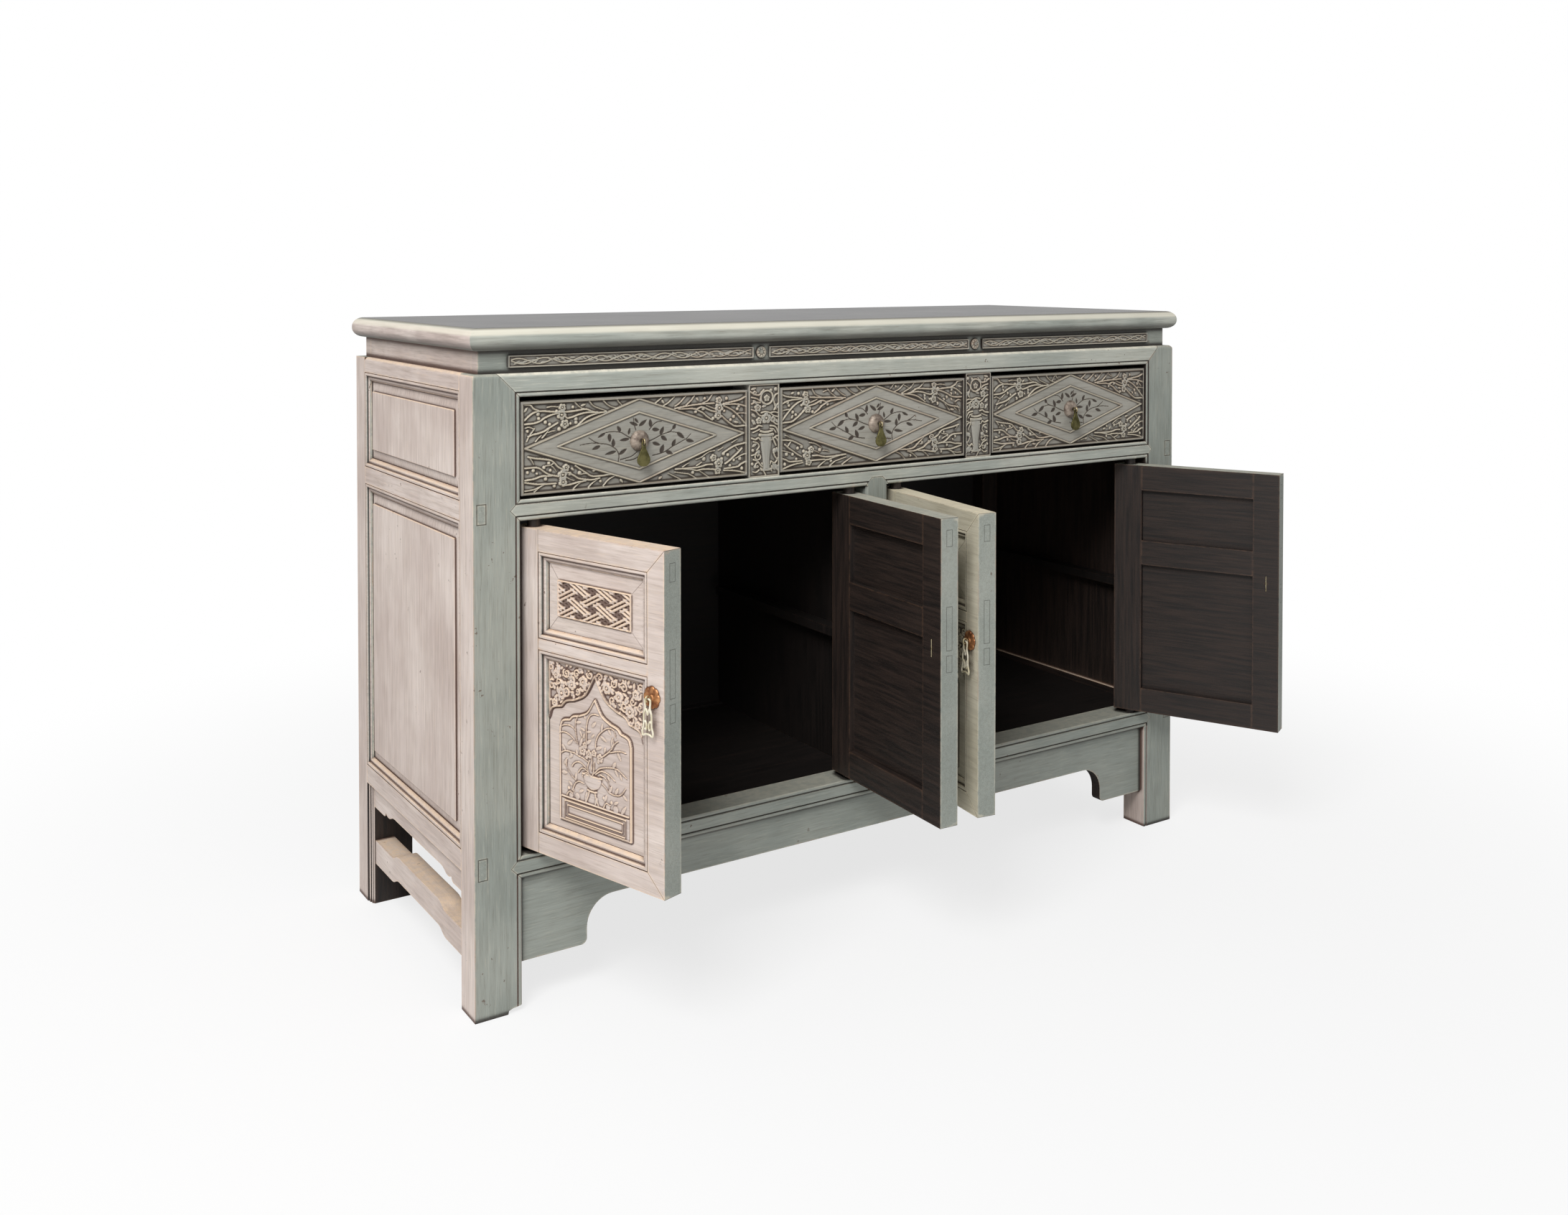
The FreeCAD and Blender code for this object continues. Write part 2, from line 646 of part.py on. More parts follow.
def front_apron():
    body = new_body("front_apron")
    high = "bottom_rail_lift"
    middle = f"{high} - apron_height"
    foot = f"{high} - apron_foot_height"
    step = "half_opening - apron_foot_width"
    shape = [("-half_opening", high), ("-half_opening", foot), (f"-({step})", foot),
             (f"-({step})", middle), (step, middle), (step, foot),
             ("half_opening", foot), ("half_opening", high)]
    add(body, "XZ", [shape], "apron_recess", "apron_thickness")
    doc.recompute()
    for level, radius in ((middle, "apron_cove"), (foot, "apron_corner")):
        edges = edges_where(body, lambda spot: abs(abs(spot.x) - measure(step)) < TOUCH
                            and abs(spot.z - measure(level)) < TOUCH)
        fillet(body, edges, radius)
    return body


keep(front_apron())


# Sides: rails with through tenons, two framed panels with raised fields, a scalloped
# apron and a stretcher.

def side_rail(side, name, low, high, tenon):
    body = new_body(name)
    outer, inner = f"{side} * half_width", f"{side} * side_inner"
    if tenon:
        section = rectangle(outer, inner, low, high)
    else:
        diagonal = f"frame_round * {ROUND_SHARE}"
        section = [(inner, low), (outer, low),
                   (outer, f"{high} - frame_round",
                    f"{side} * (half_width - {diagonal})", f"{high} - {diagonal}"),
                   (f"{side} * (half_width - frame_round)", high), (inner, high)]
    add(body, "XZ", [section], "front_leg_depth", "side_depth - front_leg_depth")
    if tenon:
        add(body, "XZ", [tenon_outline(side, low, high)], "0", "front_leg_depth")
    return body


# Corners of the moulding, as shares of its width and of its depth: it starts at the
# frame's face with a bead, and falls in steps to the panel.
MOULDING_SHARES = ((0, 1), (0, 0.14), (0.1, 0), (0.3, 0), (0.4, 0.14), (0.46, 0.42),
                   (0.7, 0.36), (0.82, 0.5), (1, 0.82), (1, 1))


def moulding_frame(name, loop, plane, section_plane, corner, outward, level):
    """A moulding mitred round an opening. loop is the opening's outline, and the
    section is drawn where the loop crosses the section plane."""
    body = new_body(name)
    section = chain(MOULDING_SHARES, lambda across, deep: corner(
        f"{across} * moulding_width", f"(1 - {deep}) * moulding_depth"))
    sweep(body, plane, loop, level, section_plane, section, outward)
    return body


def side_panel(side, name, low, high):
    """A panel board, with a border that slopes up to a raised field."""
    body = new_body(name)
    face = f"{side} * (half_width - moulding_depth)"
    back = "side_panel_thickness"
    start = face + f" - {back}" if side == RIGHT else face
    add(body, "YZ", [rectangle("front_leg_depth", "side_depth", low, high)], start, back)

    def inside(margin):
        return (f"front_leg_depth + {margin}", f"side_depth - ({margin})",
                f"{low} + {margin}", f"{high} - ({margin})")

    def raised(depth, along):
        return (f"{face} + {side} * {depth}", along)

    near, far, base, top = inside("moulding_width")
    start = face if side == RIGHT else face + " - side_border_rise"
    add(body, "YZ", [rectangle(near, far, base, top)], start, "side_border_rise")
    doc.recompute()
    slope_border(body, [
        ("XZ", lambda along, up: raised(up, along), base, top, near, f"{far} - ({near})"),
        ("XY", lambda along, up: raised(up, along), near, far, base, f"{top} - ({base})")],
        "side_border", "side_border_rise")
    start = (f"{face} + side_border_rise" if side == RIGHT
             else f"{face} - side_border_rise - field_height")
    add(body, "YZ", [rectangle(*inside("moulding_width + side_border"))], start, "field_height")
    doc.recompute()
    crest = measure(f"{face} + {side} * (side_border_rise + field_height)")
    edges = edges_where(body, lambda spot: abs(spot.x - crest) < TOUCH)
    dress(body, "Chamfer", edges, Size="field_bevel")
    return body


def side_moulding(side, name, low, high):
    loop = rectangle("front_leg_depth", "side_depth", low, high)

    def corner(across, raised):
        return (f"{side} * (half_width - moulding_depth + {raised})", f"{low} + {across}")

    return moulding_frame(name, loop, "YZ", "XZ", corner, "front_leg_depth + moulding_width * 2",
                          f"{side} * (half_width - moulding_depth)")


def side_apron(side, name):
    """The scalloped board under the low rail."""
    body = new_body(name)
    high = "side_low_rail_bottom"
    near, far = "front_leg_depth", "rear_leg_front"
    level = f"{high} - side_apron_height"

    def end(post, way):
        return chain(SCALLOP_SHARES, lambda along, down: (
            f"{post} + {way} * {along} * scallop_length", f"{level} - {down} * scallop_drop"))

    shape = [(near, high)] + end(near, 1) + backwards(end(far, -1)) + [(far, high)]
    start = "(half_width - side_apron_recess - side_apron_thickness)"
    if side == LEFT:
        start = "-(half_width - side_apron_recess)"
    add(body, "YZ", [shape], start, "side_apron_thickness")
    return body


# Corners of a scallop, as shares of its length and of its drop, from the post inwards:
# a flat lobe, a nick, a small lobe and a long sweep.
SCALLOP_SHARES = ((0, 1), (0.44, 1, 0.5, 0.86), (0.54, 0.3), (0.6, 0.6, 0.68, 0.68),
                  (0.76, 0.5, 0.86, 0.1), (1, 0))
# The side of a sweep, as shares of its length and of its rise: an S of two arcs.
SWEEP_SHARES = ((0, 0, 0.25, 0.125), (0.5, 0.5, 0.75, 0.875), (1, 1))


def stretcher(side, name):
    """A humpback stretcher: low beside the posts and raised between them."""
    body = new_body(name)
    near, far = "front_leg_depth", "rear_leg_front"

    def end(post, way, level):
        return chain(SWEEP_SHARES, lambda along, up: (
            f"{post} + {way} * (stretcher_foot + {along} * stretcher_sweep)",
            f"{level} + {up} * stretcher_hump"))

    low, high = "stretcher_lift", "stretcher_lift + stretcher_height"
    shape = [(near, low)] + end(near, 1, low) + backwards(end(far, -1, low)) + [(far, low)]
    shape += [(far, high)] + end(far, -1, high) + backwards(end(near, 1, high)) + [(near, high)]
    start = "(half_width - stretcher_recess - stretcher_thickness)"
    if side == LEFT:
        start = "-(half_width - stretcher_recess)"
    add(body, "YZ", [shape], start, "stretcher_thickness")
    return body


PANEL_LEVELS = {"upper": ("side_mid_rail_top", "frame_top - side_top_rail_height"),
                "lower": ("side_low_rail_top", "door_opening_top")}
for word, side in (("left", LEFT), ("right", RIGHT)):
    rails = [side_rail(side, f"{word}_side_{place_name}_rail", low, high, tenon)
             for place_name, low, high, tenon in (
                 ("top", "frame_top - side_top_rail_height", "frame_top", False),
                 ("mid", "door_opening_top", "side_mid_rail_top", True),
                 ("low", "side_low_rail_bottom", "side_low_rail_top", True))]
    mouldings = [side_moulding(side, f"{word}_{level}_moulding", *PANEL_LEVELS[level])
                 for level in PANEL_LEVELS]
    keep(group(f"{word}_side_rails", rails + mouldings))
    keep(group(f"{word}_side_panels",
               [side_panel(side, f"{word}_{level}_panel", *PANEL_LEVELS[level])
                for level in PANEL_LEVELS]))
    keep(side_apron(side, f"{word}_side_apron"))
    keep(stretcher(side, f"{word}_side_stretcher"))


# The back: three rails and two plain panels between the rear posts.

def back_rails():
    levels = (("top", "drawer_opening_top", "top_rail_height"),
              ("mid", "door_opening_top", "mid_rail_height"),
              ("low", "bottom_rail_lift", "bottom_rail_height"))
    return group("back_rails", [
        box(f"back_{word}_rail", "-half_opening", "back_rail_front", low, "2 * half_opening",
            "back_rail_thickness", height) for word, low, height in levels])


def back_panels():
    levels = (("upper", "mid_rail_top", "drawer_opening_height"),
              ("lower", "door_opening_bottom", "door_opening_height"))
    return group("back_panel", [
        box(f"{word}_back_board", "-half_opening", "back_panel_front", low, "2 * half_opening",
            "back_panel_thickness", height) for word, low, height in levels])


# The floor: boards from side to side on bearers that run from front to back.
FLOOR_BOARDS = 5


def floor_boards():
    width = f"(rear_leg_front - front_leg_depth) / {FLOOR_BOARDS}"
    low = "floor_top - floor_thickness"
    boards = [box(f"floor_board_{index + 1}", "-side_inner",
                  f"front_leg_depth + {index} * {width}", low, "2 * side_inner", width,
                  "floor_thickness") for index in range(FLOOR_BOARDS)]
    boards.append(box("rear_floor_board", "-half_opening", "rear_leg_front", low,
                      "2 * half_opening", "back_rail_front - rear_leg_front",
                      "floor_thickness"))
    return group("floor_boards", boards)


def floor_bearers():
    low = "floor_top - floor_thickness - bearer_height"
    deep = "back_rail_front - front_leg_depth"
    centres = ("-(half_opening - bearer_width / 2)", "0", "half_opening - bearer_width / 2")
    return group("floor_bearers", [
        box(f"floor_bearer_{index + 1}", f"{centre} - bearer_width / 2", "front_leg_depth", low,
            "bearer_width", deep, "bearer_height") for index, centre in enumerate(centres)])


def partition():
    """An upright board behind the centre stile, notched over the back's low rail."""
    body = new_body("partition")
    high = "door_opening_top"
    shape = [("front_leg_depth", "floor_top"), ("back_rail_front", "floor_top"),
             ("back_rail_front", "door_opening_bottom"),
             ("back_panel_front", "door_opening_bottom"), ("back_panel_front", high),
             ("front_leg_depth", high)]
    add(body, "YZ", [shape], "-partition_thickness / 2", "partition_thickness")
    return body


def shelf_bearers():
    """Ledges on the side panels and on the partition, left from a shelf."""
    places = ("-panel_inner", "-(partition_thickness / 2 + shelf_bearer_width)",
              "partition_thickness / 2", "panel_inner - shelf_bearer_width")
    return group("shelf_bearers", [
        box(f"shelf_bearer_{index + 1}", x, "front_leg_depth", "shelf_level - shelf_bearer_height",
            "shelf_bearer_width", "rear_leg_front - front_leg_depth", "shelf_bearer_height")
        for index, x in enumerate(places)])


def drawer_runner(name, low_x, high_x, guide_low, guide_high, back):
    """A ledge under the drawers' sides, with a guide that keeps them in line."""
    body = new_body(name)
    deep = f"{back} - front_leg_depth"
    add(body, "XZ", [rectangle(low_x, high_x, "runner_top - runner_thickness", "runner_top")],
        "front_leg_depth", deep)
    add(body, "XZ", [rectangle(guide_low, guide_high, "runner_top",
                               "runner_top + runner_guide_height")], "front_leg_depth", deep)
    return body


def drawer_runners():
    runners = []
    for word, side in (("left", LEFT), ("right", RIGHT)):
        centre = f"{side} * drawer_pitch / 2"
        half = "divider_width / 2"
        runners.append(drawer_runner(
            f"{word}_middle_runner", f"{centre} - ({half} + runner_lap)",
            f"{centre} + ({half} + runner_lap)", f"{centre} - {half}", f"{centre} + {half}",
            "back_rail_front"))
        inner, outer = f"{side} * (half_opening - runner_lap)", f"{side} * side_inner"
        runners.append(drawer_runner(f"{word}_outer_runner", inner, outer,
                                     f"{side} * half_opening", outer, "rear_leg_front"))
    return group("drawer_runners", runners)


for part in (back_rails(), back_panels(), floor_boards(), floor_bearers(), partition(),
             shelf_bearers(), drawer_runners()):
    keep(part)


# The top: a waist of four boards, with carved strips on its front, under a thick top
# whose edge is a full round.

def waist_front():
    body = new_body("waist_front")
    ends = "half_width - waist_inset"
    add(body, "XZ", [rectangle(f"-({ends})", ends, "frame_top", "frame_top + waist_height")],
        "waist_inset", "waist_thickness")
    middle = "frame_top + waist_height / 2"
    half = "drawer_pitch / 2 - frieze_gap - frieze_boss"
    strips = [rectangle(f"{side} * drawer_pitch - ({half})", f"{side} * drawer_pitch + ({half})",
                        f"{middle} - frieze_height / 2", f"{middle} + frieze_height / 2")
              for side in (LEFT, 0, RIGHT)]
    bosses = [polygon(BOSS_SIDES, f"{side} * drawer_pitch / 2", middle, "frieze_boss")
              for side in (LEFT, RIGHT)]
    add(body, "XZ", strips + bosses, "waist_inset - frieze_relief", "frieze_relief")
    return body


def waist_boards():
    ends = "half_width - waist_inset"
    deep = "case_depth - 2 * waist_inset - 2 * waist_thickness"
    boards = [waist_front(),
              box("waist_back", f"-({ends})", "case_depth - waist_inset - waist_thickness",
                  "frame_top", f"2 * ({ends})", "waist_thickness", "waist_height")]
    for word, x in (("left", f"-({ends})"), ("right", f"{ends} - waist_thickness")):
        boards.append(box(f"waist_{word}", x, "waist_inset + waist_thickness", "frame_top",
                          "waist_thickness", deep, "waist_height"))
    return group("waist_boards", boards)


def top_board():
    body = new_body("top_board")
    reach = "half_width + top_overhang"
    add(body, "XY", [rectangle(f"-({reach})", reach, "-top_overhang",
                               "case_depth + top_overhang")],
        "case_height - top_thickness", "top_thickness")
    doc.recompute()
    levels = [measure("case_height"), measure("case_height - top_thickness")]
    fillet(body, edges_where(body, lambda spot: min(abs(spot.z - level) for level in levels)
                             < TOUCH), "top_round")
    return body


keep(waist_boards())
keep(top_board())


# Pulls. A split pin goes through the wood: a ring in front, and two tails bent flat
# against the inside.

def split_pin(name, x, face, z, wood, plate_height):
    """A flat strip folded round into a ring, through the wood and bent flat inside.
    face is the wood's front, wood its thickness, and plate_height the height of the
    metal that sits on it."""
    body = new_body(name)
    level = f"{face} - {plate_height} - ring_stand"
    loop = polygon(RING_SIDES, level, z, f"ring_radius / cos({180 / RING_SIDES})")
    section = polygon(WIRE_SIDES, x, f"{z} + ring_radius", "ring_wire")
    sweep(body, "YZ", loop, x, "XZ", section, level)
    shank = rectangle(f"{x} - pin_width / 2", f"{x} + pin_width / 2", f"{z} - pin_thickness / 2",
                      f"{z} + pin_thickness / 2")
    add(body, "XZ", [shank], f"{face} - {plate_height} - ring_wire",
        f"{wood} + {plate_height} + ring_wire + tail_thickness")
    tails = rectangle(f"{x} - tail_width / 2", f"{x} + tail_width / 2", f"{z} - tail_length",
                      f"{z} + tail_length")
    add(body, "XZ", [tails], f"{face} + {wood}", "tail_thickness")
    return body


def pin_slot(body, x, z, start, length):
    """The slot that a split pin goes through."""
    half_width, half_height = (f"({size} / 2 + pin_clearance)"
                               for size in ("pin_width", "pin_thickness"))
    cut(body, "XZ", [rectangle(f"{x} - {half_width}", f"{x} + {half_width}",
                               f"{z} - {half_height}", f"{z} + {half_height}")], start, length)


PETALS = 8
# Corners of a petal: the way round it as a share, and how far in from its end.
PETAL_SHARES = ((0, 1), (0.3, 0), (0.7, 0))


def petals():
    """The outline of the flower-shaped plate."""
    corners = []
    for petal in range(PETALS):
        for turn, inset in PETAL_SHARES:
            angle = 360 * (petal + turn) / PETALS
            radius = f"(rosette_radius - {inset} * rosette_notch)"
            corners.append((f"{radius} * sin({angle})", f"{radius} * cos({angle})"))
    return corners


def plate(name, shape, height, bevels, x, face, z):
    """A metal plate whose top edge is bevelled once or more, with a slot for the pin."""
    body = new_body(name)
    add(body, "XZ", [shape], f"-{height}", height)
    doc.recompute()
    crest = -measure(height)
    for bevel in bevels:
        edges = edges_where(body, lambda spot: abs(spot.y - crest) < TOUCH)
        dress(body, "Chamfer", edges, Size=bevel)
    pin_slot(body, "0", "0", f"-({height} + overrun)", f"{height} + 2 * overrun")
    place(body, x, face, z)
    return body


# The openwork pull, half of it: shares of its half width and of its length, down
# from the bar that hangs in the ring.
PULL_SHARES = ((0.42, 0), (0.5, 0.1), (0.44, 0.24), (0.7, 0.42), (0.74, 0.72), (1, 0.9),
               (0.86, 1), (0.34, 0.96))


def openwork_pull(name, x, face, plate_height):
    body = new_body(name)
    bar = "pull_level - (ring_radius - ring_wire - pull_wire - ring_clearance)"

    def spot(side, share):
        across, down = share
        return (f"{x} + {side} * {across} * pull_width / 2", f"{bar} - {down} * pull_length")

    loop = [spot(1, share) for share in PULL_SHARES]
    loop += [spot(-1, share) for share in reversed(PULL_SHARES)]
    level = f"{face} - {plate_height} - ring_stand"
    section = polygon(WIRE_SIDES, level, bar, "pull_wire")
    sweep(body, "XZ", loop, level, "YZ", section, x)
    return body


# The drop's side: shares of its half width, and of its length below the eye's middle.
DROP_SHARES = ((0.3, 0.06), (0.36, 0.2), (0.7, 0.44), (0.95, 0.62), (1, 0.74), (0.86, 0.87),
               (0.52, 0.97), (0.2, 1))


def teardrop(name, x, z, face, plate_height):
    """A flat drop with an eye for the ring."""
    body = new_body(name)
    centre = f"({z} - ring_radius)"

    def half(side):
        return chain(DROP_SHARES, lambda across, down: (
            f"{x} + {side} * {across} * drop_width / 2",
            f"{centre} - {down} * (drop_length - drop_eye)"))

    left, right = half(LEFT), half(RIGHT)
    left[0] += (x, f"{centre} + drop_eye")
    shape = [left[0]] + right + left[:0:-1]
    start = f"{face} - {plate_height} - ring_stand - drop_thickness / 2"
    add(body, "XZ", [shape], start, "drop_thickness")
    doc.recompute()
    cut(body, "XZ", [polygon(WIRE_SIDES, x, centre, "drop_hole")], f"{start} - overrun",
        "drop_thickness + 2 * overrun")
    return body


# Drawers: a front with a raised rim and two raised rhombuses, a plain box behind it,
# and a domed boss with a drop.

def rhombus(centre, across, up):
    return [(f"{centre} - ({across})", "drawer_middle"), (centre, f"drawer_middle - ({up})"),
            (f"{centre} + ({across})", "drawer_middle"), (centre, f"drawer_middle + ({up})")]


def drawer_front(name, centre):
    body = new_body(name)
    half = "drawer_width / 2"
    face = "drawer_recess"
    board = rectangle(f"{centre} - {half}", f"{centre} + {half}", "drawer_low", "drawer_high")
    inside = rectangle(f"{centre} - ({half} - drawer_rim)", f"{centre} + ({half} - drawer_rim)",
                       "drawer_low + drawer_rim", "drawer_high - drawer_rim")
    add(body, "XZ", [board], f"{face} + drawer_relief", "drawer_front_thickness - drawer_relief")
    add(body, "XZ", [board, inside], face, "drawer_relief")
    across = f"({half} - drawer_rim - rhombus_margin)"
    up = "((drawer_high - drawer_low) / 2 - drawer_rim - rhombus_margin / 2)"
    slant = f"sqrt({across} ^ 2 + {up} ^ 2)"
    for inset in ("0", "inner_rhombus_gap"):
        loops = [rhombus(centre, f"{across} - ({inset} + {line}) * {slant} / {up}",
                         f"{up} - ({inset} + {line}) * {slant} / {across}")
                 for line in ("0", "rhombus_line")]
        add(body, "XZ", loops, face, "drawer_relief")
    doc.recompute()
    pin_slot(body, centre, "drawer_middle", f"{face} - overrun",
             "drawer_front_thickness + 2 * overrun")
    return body


def drawer_box(name, centre):
    half = "drawer_width / 2 - drawer_box_inset"
    wall = "drawer_side_thickness"
    inner = f"2 * ({half} - {wall})"
    sides = [box(f"{name}_{word}_side", x, "drawer_back", "drawer_low", wall,
                 "drawer_box_depth", "drawer_box_height")
             for word, x in (("left", f"{centre} - ({half})"),
                             ("right", f"{centre} + ({half}) - {wall}"))]
    back = box(f"{name}_back", f"{centre} - ({half} - {wall})",
               f"drawer_back + drawer_box_depth - {wall}", "drawer_low", inner, wall,
               "drawer_box_height")
    bottom = box(f"{name}_bottom", f"{centre} - ({half} - {wall})", "drawer_back",
                 "drawer_low + drawer_bottom_lift", inner, f"drawer_box_depth - {wall}",
                 "drawer_bottom_thickness")
    return group(f"{name}_box", sides + [back, bottom])


for name, step in DRAWERS.items():
    centre = f"{step} * drawer_pitch"
    keep(drawer_front(f"{name}_front", centre))
    keep(drawer_box(name, centre))
    field = "drawer_recess + drawer_relief"
    boss = plate(f"{name}_boss", polygon(BOSS_SIDES, "0", "0", "boss_radius"), "boss_height",
                 ("boss_bevel", "boss_crown"), centre, field, "drawer_middle")
    pin_body = split_pin(f"{name}_pin", centre, field, "drawer_middle",
                             "(drawer_front_thickness - drawer_relief)", "boss_height")
    keep(group(f"{name}_knob", [boss, pin_body]))
    keep(teardrop(f"{name}_drop", centre, "drawer_middle", field, "boss_height"))


# Doors, drawn shut with the pivot's axis at x = 0, y = 0 and then turned open. way is
# +1 where the door reaches to the right of its pivot.

def hinge_stile(name, way):
    """The stile that turns: its back edge is round about the pivot's axis."""
    body = new_body(name)
    chord = "sqrt(pivot_inset ^ 2 - door_face ^ 2)"
    middle = f"sqrt((pivot_inset + {chord}) / 2 * pivot_inset)"
    section = [(f"{way} * stile_line", "-door_face"), (f"{way} * stile_line", "door_face"),
               (f"-{way} * pivot_inset", "door_face"),
               (f"-{way} * pivot_inset", "0",
                f"-{way} * {middle}", f"-sqrt(pivot_inset ^ 2 - {middle} ^ 2)"),
               (f"-{way} * {chord}", "-door_face")]
    add(body, "XY", [section], "door_low", "door_high - door_low")
    pivot = [("circle", "0", "0", "pivot_radius")]
    add(body, "XY", pivot, "door_high", "top_pivot_length")
    add(body, "XY", pivot, "door_low - bottom_pivot_length", "bottom_pivot_length")
    return body


def lock_stile(name, way):
    """The stile that carries the pull, mitred at its outer corners."""
    body = new_body(name)
    inner = f"{way} * (lock_line - moulding_width)"
    section = [(f"{way} * door_reach", "-door_face"), (f"{way} * lock_line", "-door_face"),
               (f"{way} * lock_line", "-panel_face"), (inner, "-panel_face"),
               (inner, "door_face"), (f"{way} * door_reach", "door_face")]
    add(body, "XY", [section], "door_low", "door_high - door_low")
    doc.recompute()
    cut(body, "XZ", [corner_mitre(way, "door_high", "-door_top_flat"),
                     corner_mitre(way, "door_low", "door_bottom_flat")],
        "-door_face", "moulding_depth")
    pin_slot(body, f"{way} * pull_place", "pull_level", "-(door_face + overrun)",
             "door_thickness + 2 * overrun")
    return body


def corner_mitre(way, edge, flat):
    """The rail's corner in front of the lock stile."""
    return [(f"{way} * lock_line", edge), (f"{way} * door_reach", edge),
            (f"{way} * lock_line", f"{edge} + {flat}")]


def door_rail(name, way, low, high, flat_low, flat_high, mitre=None):
    """A rail between the stiles: flat in front from flat_low to flat_high, and
    rebated for the mouldings above and below."""
    body = new_body(name)
    section = [("-door_face", flat_low), ("-door_face", flat_high), ("-panel_face", flat_high)]
    if high != flat_high:
        section.append(("-panel_face", high))
    section += [("door_face", high), ("door_face", low), ("-panel_face", low)]
    if low != flat_low:
        section.append(("-panel_face", flat_low))
    section = [spot for index, spot in enumerate(section) if spot not in section[:index]]
    start, length = "stile_line", "lock_line - moulding_width - stile_line"
    if way == LEFT:
        start = "-(lock_line - moulding_width)"
    add(body, "YZ", [section], start, length)
    layer = [rectangle(f"{way} * (lock_line - moulding_width)", f"{way} * lock_line",
                       flat_low, flat_high)]
    add(body, "XZ", layer, "-door_face", "moulding_depth")
    if mitre:
        add(body, "XZ", [corner_mitre(way, *mitre)], "-door_face", "moulding_depth")
    return body


def door_moulding(name, way, low, high):
    loop = rectangle(f"{way} * stile_line", f"{way} * lock_line", low, high)

    def corner(across, raised):
        return (f"-(panel_face + {raised})", f"{low} + {across}")

    return moulding_frame(name, loop, "XZ", "YZ", corner,
                          f"{way} * (stile_line + 2 * moulding_width)", "-panel_face")


def door_board(name, way, low, high):
    """A panel between the stiles."""
    body = new_body(name)
    board = rectangle(f"{way} * stile_line", f"{way} * (lock_line - moulding_width)", low, high)
    add(body, "XZ", [board], "-panel_face", "door_panel_thickness")
    return body


# The pointed arch's outline, half of it: shares of its half width and of its rise,
# from the springing over a round lobe and a flatter one up to the point.
ARCH_SHARES = ((1, 0, 0.93, 0.2), (0.72, 0.28, 0.63, 0.39), (0.44, 0.455, 0.2, 0.62), (0, 1))
# How far each arch springs below the lower panel's top, and how far it rises from
# there, as shares of the panel's height.
ARCH_LEVEL_SHARES = {"spandrel": (0.35, 0.32), "plaque": (0.385, 0.22)}


def arch(centre, half, springing, rise):
    """Corners of the arch from its right springing over the point to its left one."""
    def half_arch(side):
        return chain(ARCH_SHARES, lambda across, up: (
            f"{centre} + {side} * {across} * ({half})", f"{springing} + {up} * ({rise})"))

    return half_arch(1)[:-1] + backwards(half_arch(-1))


def upper_door_panel(name, way):
    """A border slopes up from the moulding to the tablet that carries the weave."""
    low, high = "upper_low", "ring_high - moulding_width"
    left, right = "stile_line + moulding_width", "lock_line - moulding_width"

    near, far = (left, right) if way == RIGHT else (right, left)
    near, far = f"{way} * ({near})", f"{way} * ({far})"
    body = door_board(name, way, low, high)
    add(body, "XZ", [rectangle(near, far, low, high)], "-panel_face - door_border_rise",
        "door_border_rise")
    doc.recompute()
    slope_border(body, [
        ("YZ", lambda along, up: (f"-panel_face - {up}", along), low, high, near,
         f"{far} - {near}"),
        ("XY", lambda along, up: (along, f"-panel_face - {up}"), near, far, low,
         f"{high} - ({low})")], "door_border", "door_border_rise")
    add(body, "XZ", [rectangle(f"{near} + door_border", f"{far} - door_border",
                               f"{low} + door_border", f"{high} - door_border")],
        "-panel_face - door_border_rise - tablet_relief", "tablet_relief")
    return body


def lower_door_panel(name, way):
    """Spandrels fill the corners above the arch, and a plaque with a plinth across its
    foot stands under it."""
    low, high = "ring_low + moulding_width", "mid_flat_bottom - moulding_width"
    centre = f"{way} * (stile_line + lock_line) / 2"
    half = "((lock_line - stile_line) / 2 - moulding_width)"
    tall = f"(({high}) - ({low}))"

    def levels(which):
        down, up = ARCH_LEVEL_SHARES[which]
        return f"({high} - {down} * {tall})", f"{up} * {tall}"

    body = door_board(name, way, low, high)
    springing, rise = levels("spandrel")
    spandrels = arch(centre, half, springing, rise)
    spandrels += [(f"{centre} - {half}", high), (f"{centre} + {half}", high)]
    add(body, "XZ", [spandrels], "-panel_face - spandrel_relief", "spandrel_relief")
    springing, rise = levels("plaque")

    across = f"({half} - plaque_margin)"
    base = f"{low} + plaque_foot"
    plaque = arch(centre, across, springing, rise)
    plaque += [(f"{centre} - {across}", base), (f"{centre} + {across}", base)]
    add(body, "XZ", [plaque], "-panel_face - plaque_relief", "plaque_relief")
    plinth = rectangle(f"{centre} - ({across} - plaque_rim)", f"{centre} + ({across} - plaque_rim)",
                       f"{base} + plaque_rim", f"{base} + plinth_height")
    add(body, "XZ", [plinth], "-panel_face - plaque_relief - plinth_relief", "plinth_relief")
    return body


